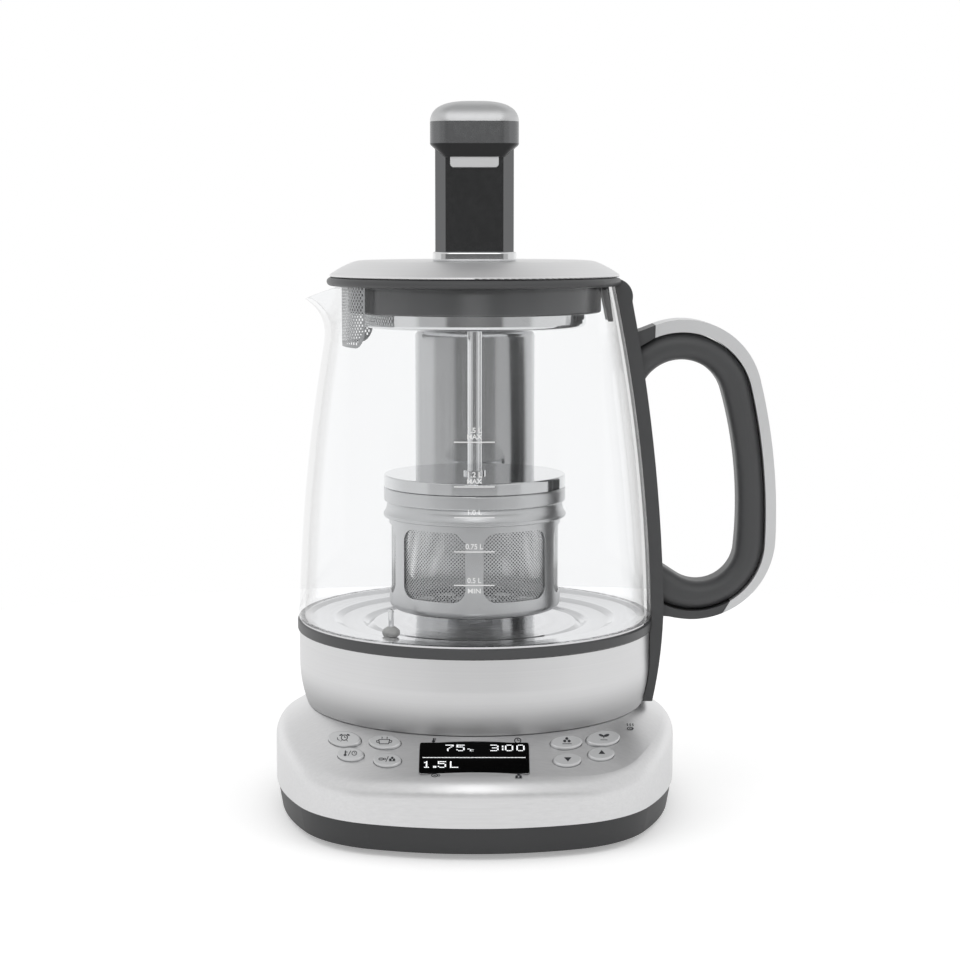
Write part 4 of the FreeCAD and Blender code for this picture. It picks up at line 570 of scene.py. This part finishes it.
class TEAMAKER_OT_glass(bpy.types.Operator):
    """Makes the jug's glass with its drawn spout"""

    bl_idname = "teamaker.glass"
    bl_label = "Glass jug"

    ARC_PARTS = 44
    ROUND_STEPS = 180
    SPOUT_FOOT = 218 * MM    # height where the spout begins
    SPOUT_EASE = 2.2         # the higher, the later the glass bends outwards

    def execute(self, context):
        form = spun(self.profile(), self.ROUND_STEPS)
        self.pull_spout(form, context.scene.tea_shape)
        finish_piece("JugGlass", form, "jug", "clear_glass", ("glass_jug",))
        return {"FINISHED"}

    def profile(self):
        """The wall's section: up the outside, over the round lip and down the inside."""
        top, lip = GLASS_HIGH[1], GLASS_WALL / 2
        outer = side_arc(GLASS_LOW, GLASS_HIGH, GLASS_CURVE, self.ARC_PARTS)
        inner = side_arc((GLASS_LOW[0] - GLASS_WALL, GLASS_LOW[1]),
                         (GLASS_HIGH[0] - GLASS_WALL, top),
                         GLASS_CURVE - GLASS_WALL, self.ARC_PARTS)
        rim = [(GLASS_HIGH[0] - lip + lip * math.cos(a), top - lip + lip * math.sin(a))
               for a in (math.radians(t) for t in range(20, 180, 20))]
        outside, inside = ([p for p in side if p[1] < top - lip] for side in (outer, inner))
        return outside + rim + inside[::-1]

    def pull_spout(self, form, shape):
        """Draws the rim out and down in one soft lobe towards -X."""
        for vert in form.verts:
            rise = (vert.co.z - self.SPOUT_FOOT) / (GLASS_HIGH[1] - self.SPOUT_FOOT)
            if rise <= 0 or vert.co.x > 0:
                continue
            angle = math.atan2(vert.co.y, -vert.co.x)
            pull = rise ** self.SPOUT_EASE * math.exp(-(angle / shape.spout_spread) ** 2)
            vert.co.x -= shape.spout_reach * pull
            vert.co.z -= shape.spout_drop * pull


class TEAMAKER_OT_basket_sieve(bpy.types.Operator):
    """Makes the basket's pierced sheet"""

    bl_idname = "teamaker.basket_sieve"
    bl_label = "Basket sieve"

    HALF_SHEET = 0.2 * MM    # half the thickness of the CAD sheet
    WEB = 0.12               # metal left at each side of a hole, as a share of a cell
    RIM_CELLS = 2.2          # plain cells at the upper and the lower edge

    def execute(self, context):
        low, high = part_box("basket_mesh")
        radius = (high.x - low.x) / 2 - self.HALF_SHEET
        centre = (low + high) / 2
        around = context.scene.tea_shape.sieve_cells // 2 * 2
        pitch = math.tau * radius / around
        rows = int((high.z - low.z) / pitch)
        edge = (rows / 2 - self.RIM_CELLS) * pitch
        form = sieve_sheet(around, rows, pitch, self.WEB, lambda x, y: abs(y) > edge)
        for vert in form.verts:
            angle = vert.co.x / radius
            vert.co = Vector((radius * math.sin(angle), centre.y - radius * math.cos(angle),
                              centre.z + vert.co.y))
        bmesh.ops.remove_doubles(form, verts=form.verts, dist=1e-6)
        finish_piece("BasketSieve", form, "basket", "steel_sieve",
                     ("basket_mesh",))
        return {"FINISHED"}


class TEAMAKER_OT_spout_filter(bpy.types.Operator):
    """Makes the pierced filter inside the spout"""

    bl_idname = "teamaker.spout_filter"
    bl_label = "Spout filter"

    HALF_SHEET = 0.4 * MM    # half the thickness of the CAD sheet
    WEB = 0.14               # metal left at each side of a hole, as a share of a cell
    CORNER = 9 * MM          # rounding of the two lower corners
    CORNER_CUTS = 6
    RIM = 1.8 * MM           # plain edge

    def execute(self, context):
        low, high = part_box("spout_filter")
        radius = -low.x - self.HALF_SHEET
        half = math.asin(high.y / radius)
        count = context.scene.tea_shape.filter_cells
        pitch = 2 * half * radius / count
        rows = int((high.z - low.z) / pitch)
        tall = rows * pitch
        corner = self.CORNER

        def rim(x, y):
            """True within the plain edge of the round-cornered sheet."""
            side, y = half * radius - abs(x), y + tall / 2
            if side < corner and y < corner:
                return corner - math.hypot(corner - side, corner - y) <= self.RIM
            return min(side, y) <= self.RIM

        form = sieve_sheet(count, rows, pitch, self.WEB, rim)
        for sign in (-1, 1):
            pivot = Vector((sign * (half * radius - corner), corner - tall / 2, 0))
            for cut in range(self.CORNER_CUTS):
                a = math.radians(90 / self.CORNER_CUTS * (cut + 0.5))
                out = Vector((sign * math.cos(a), -math.sin(a), 0))
                bmesh.ops.bisect_plane(form, geom=form.verts[:] + form.edges[:] + form.faces[:],
                                       plane_co=pivot + out * corner, plane_no=out,
                                       clear_outer=True)
        for vert in form.verts:
            angle = vert.co.x / radius
            vert.co = Vector((-radius * math.cos(angle), radius * math.sin(angle),
                              high.z - tall / 2 + vert.co.y))
        finish_piece("SpoutFilter", form, "jug", "steel_filter",
                     ("spout_filter",))
        return {"FINISHED"}


class TEAMAKER_OT_volume_marks(bpy.types.Operator):
    """Prints the volume scale on the glass"""

    bl_idname = "teamaker.volume_marks"
    bl_label = "Volume marks"

    # words, height of their foot, height of the letters, width in millimetres
    WORDS = (("1.5 L", 183.6, 2.28, 6.1), ("MAX", 180.85, 2.16, 6.4),
             ("1.2 L", 164.4, 2.38, 6.1), ("MAX", 161.7, 2.1, 6.4),
             ("1.0 L", 148.2, 2.16, 6.1), ("0.75 L", 133.2, 2.38, 7.6),
             ("0.5 L", 118.5, 2.3, 6.1), ("MIN", 114.0, 2.1, 5.6))
    LINES = (179.6, 160.3, 147.0, 132.1, 117.5)
    LINE_LONG, LINE_THICK, LINE_PARTS = 17.8, 0.5, 12
    INK = 0.06 * MM          # how far the print stands off the glass

    def execute(self, context):
        print_ = Drawing()
        for words, foot, tall, wide in self.WORDS:
            print_.text(words, 0, foot, tall, wide)
        part = self.LINE_LONG / self.LINE_PARTS
        for height in self.LINES:
            for i in range(self.LINE_PARTS):
                x = i * part - self.LINE_LONG / 2
                print_.bar(x, height, x + part, height, self.LINE_THICK)
        form = print_.placed(Matrix.Identity(4))
        bmesh.ops.triangulate(form, faces=form.faces)
        for vert in form.verts:
            radius = glass_radius(vert.co.y) + self.INK
            angle = vert.co.x / radius
            vert.co = Vector((radius * math.sin(angle), -radius * math.cos(angle), vert.co.y))
        finish_piece("VolumeMarks", form, "jug", "mark_white")
        return {"FINISHED"}


# Dot rows of the display's characters, from the top, five dots wide
DOTS = {
    "7": ("11111", "00001", "00010", "00100", "01000", "01000", "01000"),
    "5": ("11111", "10000", "11110", "00001", "00001", "10001", "01110"),
    "3": ("11110", "00001", "00001", "01110", "00001", "00001", "11110"),
    "0": ("01110", "10001", "10001", "10001", "10001", "10001", "01110"),
    "1": ("00100", "01100", "00100", "00100", "00100", "00100", "01110"),
    "L": ("10000", "10000", "10000", "10000", "10000", "10000", "11111"),
    ".": ("00000", "00000", "00000", "00000", "00000", "00110", "00110"),
    ":": ("00000", "00100", "00100", "00000", "00100", "00100", "00000"),
    "c": ("11000", "11000", "00111", "00100", "00100", "00100", "00111"),
}


class TEAMAKER_OT_display(bpy.types.Operator):
    """Lights the display's dots"""

    bl_idname = "teamaker.display"
    bl_label = "Display dots"

    # a dot's share of the display in millimetres, and how much of that is lit
    LARGE, SMALL = (0.74, 0.56), (0.54, 0.22)
    LIT_WIDE, LIT_TALL = 0.86, 0.82
    # character, left edge, top edge, size of its dots
    SIGNS = (("7", -12.7, 7.7, LARGE), ("5", -7.9, 7.7, LARGE), ("c", -3.0, 5.3, SMALL),
             ("3", 7.0, 7.7, LARGE), (":", 10.6, 7.7, LARGE),
             ("0", 13.4, 7.7, LARGE), ("0", 18.4, 7.7, LARGE),
             ("1", -22.6, -2.3, LARGE), (".", -19.4, -2.3, LARGE),
             ("5", -15.9, -2.3, LARGE), ("L", -10.6, -2.3, LARGE))
    # the dashed rule between the two rows: its left end and height, then the dashes
    RULE_LEFT, RULE_HEIGHT = -22.5, -0.1
    DASHES, DASH_PITCH, DASH_LONG, DASH_THICK = 75, 0.6, 0.42, 0.4
    SUNK = 0.37 * MM         # how far the dots lie under the panel's surface

    def execute(self, context):
        dots = Drawing()
        for sign, left, top, (wide, tall) in self.SIGNS:
            half = self.LIT_WIDE * wide / 2
            for row, line in enumerate(DOTS[sign]):
                y = top - (row + 0.5) * tall
                for column, lit in enumerate(line):
                    x = left + (column + 0.5) * wide
                    if lit == "1":
                        dots.bar(x - half, y, x + half, y, self.LIT_TALL * tall)
        for i in range(self.DASHES):
            x = self.RULE_LEFT + i * self.DASH_PITCH
            dots.bar(x, self.RULE_HEIGHT, x + self.DASH_LONG, self.RULE_HEIGHT, self.DASH_THICK)
        form = dots.placed(panel_matrix(DISPLAY_RADIUS, 0, -self.SUNK))
        finish_piece("DisplayDots", form, "power_base", "dot_glow", smooth=False)
        return {"FINISHED"}


# ----------------------------------------------------------------------- signs

def clock_sign(d, x, y, r, width=0.42):
    d.ring(x, y, r, width, (1.0, 1.15))
    return d.line(((x, y + 0.7 * r), (x, y), (x + 0.55 * r, y)), 0.75 * width)


def thermometer_sign(d, x, y, tall):
    d.disc(x, y - tall / 2 + 0.6, 0.75)
    d.bar(x, y - tall / 2 + 0.5, x, y + tall / 2, 0.62)
    for i in range(3):
        d.bar(x + 0.4, y + 0.1 + 0.5 * i, x + 1.1, y + 0.1 + 0.5 * i, 0.22)
    return d


def cup_sign(d, x, y, wide):
    d.ring(x - 0.3, y, wide / 2, 0.45, (1.0, 0.72))
    d.bar(x - 0.9, y, x + 0.3, y, 0.4)
    return d.ring(x + wide / 2 + 0.1, y, 0.65, 0.32)


def leaf_pile_sign(d, x, y, wide):
    d.bar(x - wide / 2, y - 1.2, x + wide / 2, y - 1.2, 0.45)
    for dx, dy in ((-0.85, -0.35), (0.85, -0.35), (0, 0.75)):
        d.disc(x + dx, y + dy, 0.62, 12, (1.0, 1.15))
    return d


def heat_sign(d):
    d.ring(0, -1.6, 2.2, 0.6, (1.0, 0.62))
    d.ring(0.5, -1.6, 1.1, 0.4, (1.0, 0.62))
    for x in (-1.8, 0, 1.8):
        d.line(((x, 0.6), (x + 0.5, 1.3), (x - 0.1, 2.0), (x + 0.5, 2.8)), 0.48)
    return d


def alarm_drawing(d):
    clock_sign(d, 0.4, 0.1, 1.9, 0.5)
    for side in (-1, 1):
        d.disc(0.4 + side * 2.0, 2.0, 0.75, 14, (1.3, 0.7), side * -0.6)
        d.bar(0.4 + side * 1.3, -1.8, 0.4 + side * 1.9, -2.5, 0.4)
    return d.line(((-3.4, 0.2), (-3.1, -1.3), (-1.9, -1.9)), 0.42)


def keep_drawing(d):
    d.line(((-2.6, 0.9), (-2.2, -1.9), (2.2, -1.9), (2.6, 0.9)), 0.45)
    d.bar(-2.7, 0.9, 2.7, 0.9, 0.4)
    for side in (-1, 1):
        d.line(((side * 2.6, 0.2), (side * 3.7, 0.2), (side * 3.4, -1.1), (side * 2.4, -1.1)), 0.4)
        d.line(((side * 1.2, 1.4), (side * 1.2 + 0.25, 2.0), (side * 1.2, 2.7)), 0.36)
    return d


def temperature_drawing(d):
    thermometer_sign(d, -2.3, 0, 3.6)
    d.bar(-0.8, -1.7, 0.5, 1.7, 0.36)
    return clock_sign(d, 2.3, 0, 1.4, 0.36)


def strength_drawing(d):
    cup_sign(d, -2.3, 0, 2.6)
    d.bar(-0.4, -1.7, 0.7, 1.7, 0.36)
    return leaf_pile_sign(d, 2.5, 0, 3.0)


def basket_drawing(d):
    for x, y in ((-1.05, 0.1), (1.05, 0.1), (0.0, 1.7)):
        d.disc(x, y, 0.75, 14, (1.0, 1.2))
    return d.bar(-2.2, -1.7, 2.2, -1.7, 0.42)


def start_drawing(d):
    d.disc(-1.3, 1.3, 1.45, 18, (1.0, 0.55), -0.5)
    d.disc(1.5, 1.3, 1.75, 18, (1.0, 0.5), 0.45)
    d.bar(0, 0.8, 0, -0.7, 0.42)
    return d.bar(-1.9, -1.9, 1.9, -1.9, 0.4)


def arrow_drawing(d, up):
    return d.disc(0, 0, 1.9, 3, (1.06, 0.95), 0.0 if up else math.pi)


# button, distance from the axis, angle from the front, its drawing
BUTTONS = (
    ("clock", 87.6, -41.5, alarm_drawing), ("keep", 85.7, -27.5, keep_drawing),
    ("temperature", 94.4, -35.4, temperature_drawing),
    ("strength", 94.6, -23.7, strength_drawing),
    ("basket", 86.0, 28.2, basket_drawing), ("start", 87.2, 41.2, start_drawing),
    ("down", 94.8, 25.4, lambda d: arrow_drawing(d, False)),
    ("up", 94.4, 36.4, lambda d: arrow_drawing(d, True)),
)
# the same for the signs that are printed on the panel itself
PANEL_SIGNS = (
    ("Thermometer", 82.0, -12.67, lambda d: thermometer_sign(d, 0, 0, 2.6)),
    ("Clock", 82.3, 13.43, lambda d: clock_sign(d, 0, 0, 1.6)),
    ("Cup", 99.9, -9.73, lambda d: cup_sign(d, 0, 0, 3.0)),
    ("Leaves", 100.3, 11.03, lambda d: leaf_pile_sign(d, 0, 0, 3.2)),
    ("Heat", 85.1, 56.5, heat_sign),
)


class TEAMAKER_OT_button_signs(bpy.types.Operator):
    """Prints a small sign on each button"""

    bl_idname = "teamaker.button_signs"
    bl_label = "Button signs"

    def execute(self, context):
        for name, radius, angle, draw in BUTTONS:
            form = draw(Drawing()).placed(upright(radius, angle, KEY_FACE))
            finish_piece(f"Sign_{name}", form, f"button_{name}_key",
                         "icon_ink", smooth=False)
        return {"FINISHED"}


class TEAMAKER_OT_panel_signs(bpy.types.Operator):
    """Prints the small signs round the display"""

    bl_idname = "teamaker.panel_signs"
    bl_label = "Panel signs"

    def execute(self, context):
        for name, radius, angle, draw in PANEL_SIGNS:
            form = draw(Drawing()).placed(upright(radius, angle, PANEL_FACE))
            finish_piece(f"PanelSign_{name}", form, "power_base", "icon_ink",
                         smooth=False)
        return {"FINISHED"}


# ----------------------------------------------------------------------- stage

class TEAMAKER_OT_stage(bpy.types.Operator):
    """Makes the floor, the lamps, the world and the camera"""

    bl_idname = "teamaker.stage"
    bl_label = "Stage"

    FLOOR_RADIUS, FLOOR_SIDES = 0.6, 96
    GLOW_SEEN, GLOW_MIRRORED = 0.32, 0.19
    # tone of the room that metal mirrors, and what its parts add or take
    ROOM, BACK, BACK_TOP, WINGS, MIDDLE, CEILING = 0.82, 0.23, 0.24, 0.32, 0.34, 0.34
    # tone of the room as light: at its foot, and what its top adds
    SOFT_FOOT, SOFT_TOP = 0.52, 0.36
    # name, place, width, height, power
    LAMPS = (("Key", (-1.15, -0.95, 1.05), 0.9, 1.2, 3.4),
             ("Fill", (1.25, -0.85, 0.85), 0.8, 1.1, 2.4))
    LAMP_AIM = (0, 0, 0.14)
    CAMERA_PLACE = (0.0025, -0.985, 0.273)
    CAMERA_TILT = math.radians(83.1)
    CAMERA_LENS, CAMERA_SENSOR = 78.75, 36

    def execute(self, context):
        scene = context.scene
        scene.view_settings.view_transform = "Standard"
        self.make_floor(scene)
        self.make_world(scene)
        self.make_lamps(scene)
        self.make_camera(scene)
        return {"FINISHED"}

    def make_floor(self, scene):
        """A pale round floor that glows a little, so that it meets the white background."""
        form = bmesh.new()
        bmesh.ops.create_circle(form, cap_ends=True, radius=self.FLOOR_RADIUS,
                                segments=self.FLOOR_SIDES)
        mesh = bpy.data.meshes.new("Floor")
        form.to_mesh(mesh)
        form.free()
        m = material("Floor")
        tone = tuple(scene.tea_look.floor)
        cloud = m.noise(m.place(), 3.0, 2.0)
        colour = m.blend(cloud, times(tone, 0.985), (*tone, 1.0))
        seen, mirrored = m.rays()
        lit = m.add("ShaderNodeBsdfDiffuse", {}, {"Color": colour}).outputs[0]
        glow = m.add("ShaderNodeEmission", {}, {
            "Color": grey(1.0),
            "Strength": seen * self.GLOW_SEEN + mirrored * self.GLOW_MIRRORED}).outputs[0]
        both = m.add("ShaderNodeAddShader", {}, {0: lit, 1: glow})
        mesh.materials.append(m.surface(both.outputs[0]))
        floor = bpy.data.objects.new("Floor", mesh)
        scene.collection.objects.link(floor)

    def make_world(self, scene):
        """White to the eye and even as light; polished metal mirrors a room with darker parts."""
        world = bpy.data.worlds.new("Studio")
        scene.world = world
        w = Finish(world)
        x, y, z = w.axes(w.add("ShaderNodeTexCoord").outputs["Generated"])
        aside = abs(x.turn(0.0 - y))     # radians to either side of the front
        low = z.ramp(-0.14, -0.11) * (1.0 - z.ramp(0.08, 0.22))
        middle = (1.0 - aside.ramp(0.46, 0.54)) * low
        wings = (1.0 - aside.ramp(0.98, 1.12)) * low
        card = (1.0 - aside.ramp(0.04, 0.34)) * z.ramp(0.10, 0.28) * (1.0 - z.ramp(0.70, 0.90))
        back = aside.ramp(1.6, 2.4)
        back_top = back * z.ramp(0.15, 0.35)
        shine = (self.ROOM + back * self.BACK - back_top * self.BACK_TOP - wings * self.WINGS
                 - middle * self.MIDDLE - z.ramp(0.74, 0.96) * self.CEILING + card)
        seen, mirrored = w.rays()
        soft = self.SOFT_FOOT + z.ramp(-0.2, 1.0) * self.SOFT_TOP
        level = seen + (1.0 - seen) * (mirrored * shine + (1.0 - mirrored) * soft)
        sky = w.add("ShaderNodeBackground", {}, {"Color": grey(1.0), "Strength": level})
        w.surface(sky.outputs[0])

    def make_lamps(self, scene):
        for name, place, width, height, power in self.LAMPS:
            lamp = bpy.data.lights.new(name, "AREA")
            lamp.shape = "RECTANGLE"
            lamp.size, lamp.size_y, lamp.energy = width, height, power
            holder = bpy.data.objects.new(name, lamp)
            holder.location = place
            way = Vector(self.LAMP_AIM) - Vector(place)
            holder.rotation_euler = way.to_track_quat("-Z", "Y").to_euler()
            holder.visible_glossy = False
            scene.collection.objects.link(holder)

    def make_camera(self, scene):
        camera = bpy.data.cameras.new("Camera")
        camera.lens = self.CAMERA_LENS
        camera.sensor_width = self.CAMERA_SENSOR
        holder = bpy.data.objects.new("Camera", camera)
        holder.location = self.CAMERA_PLACE
        holder.rotation_euler = (self.CAMERA_TILT, 0, 0)
        scene.collection.objects.link(holder)
        scene.camera = holder


class TEAMAKER_PT_panel(bpy.types.Panel):
    """Shows the tea maker's settings and a button for each step"""

    bl_label = "Tea maker"
    bl_idname = "TEAMAKER_PT_panel"
    bl_space_type = "VIEW_3D"
    bl_region_type = "UI"
    bl_category = "Tea maker"

    def draw(self, context):
        for group in (context.scene.tea_look, context.scene.tea_shape):
            for name in group.bl_rna.properties.keys():
                if name not in ("rna_type", "name"):
                    self.layout.prop(group, name)
        for step in STEPS:
            self.layout.operator(step.bl_idname)


STEPS = (TEAMAKER_OT_finishes, TEAMAKER_OT_glass, TEAMAKER_OT_basket_sieve,
         TEAMAKER_OT_spout_filter, TEAMAKER_OT_volume_marks, TEAMAKER_OT_display,
         TEAMAKER_OT_button_signs, TEAMAKER_OT_panel_signs, TEAMAKER_OT_stage)
CLASSES = (TeaMakerLook, TeaMakerShape, *STEPS, TEAMAKER_PT_panel)


def register():
    for item in CLASSES:
        bpy.utils.register_class(item)
    bpy.types.Scene.tea_look = bpy.props.PointerProperty(type=TeaMakerLook)
    bpy.types.Scene.tea_shape = bpy.props.PointerProperty(type=TeaMakerShape)


def unregister():
    del bpy.types.Scene.tea_shape
    del bpy.types.Scene.tea_look
    for item in reversed(CLASSES):
        bpy.utils.unregister_class(item)


def main():
    register()
    bpy.ops.teamaker.finishes()
    bpy.ops.teamaker.glass()
    bpy.ops.teamaker.basket_sieve()
    bpy.ops.teamaker.spout_filter()
    bpy.ops.teamaker.volume_marks()
    bpy.ops.teamaker.display()
    bpy.ops.teamaker.button_signs()
    bpy.ops.teamaker.panel_signs()
    bpy.ops.teamaker.stage()


if __name__ == "__main__":
    main()
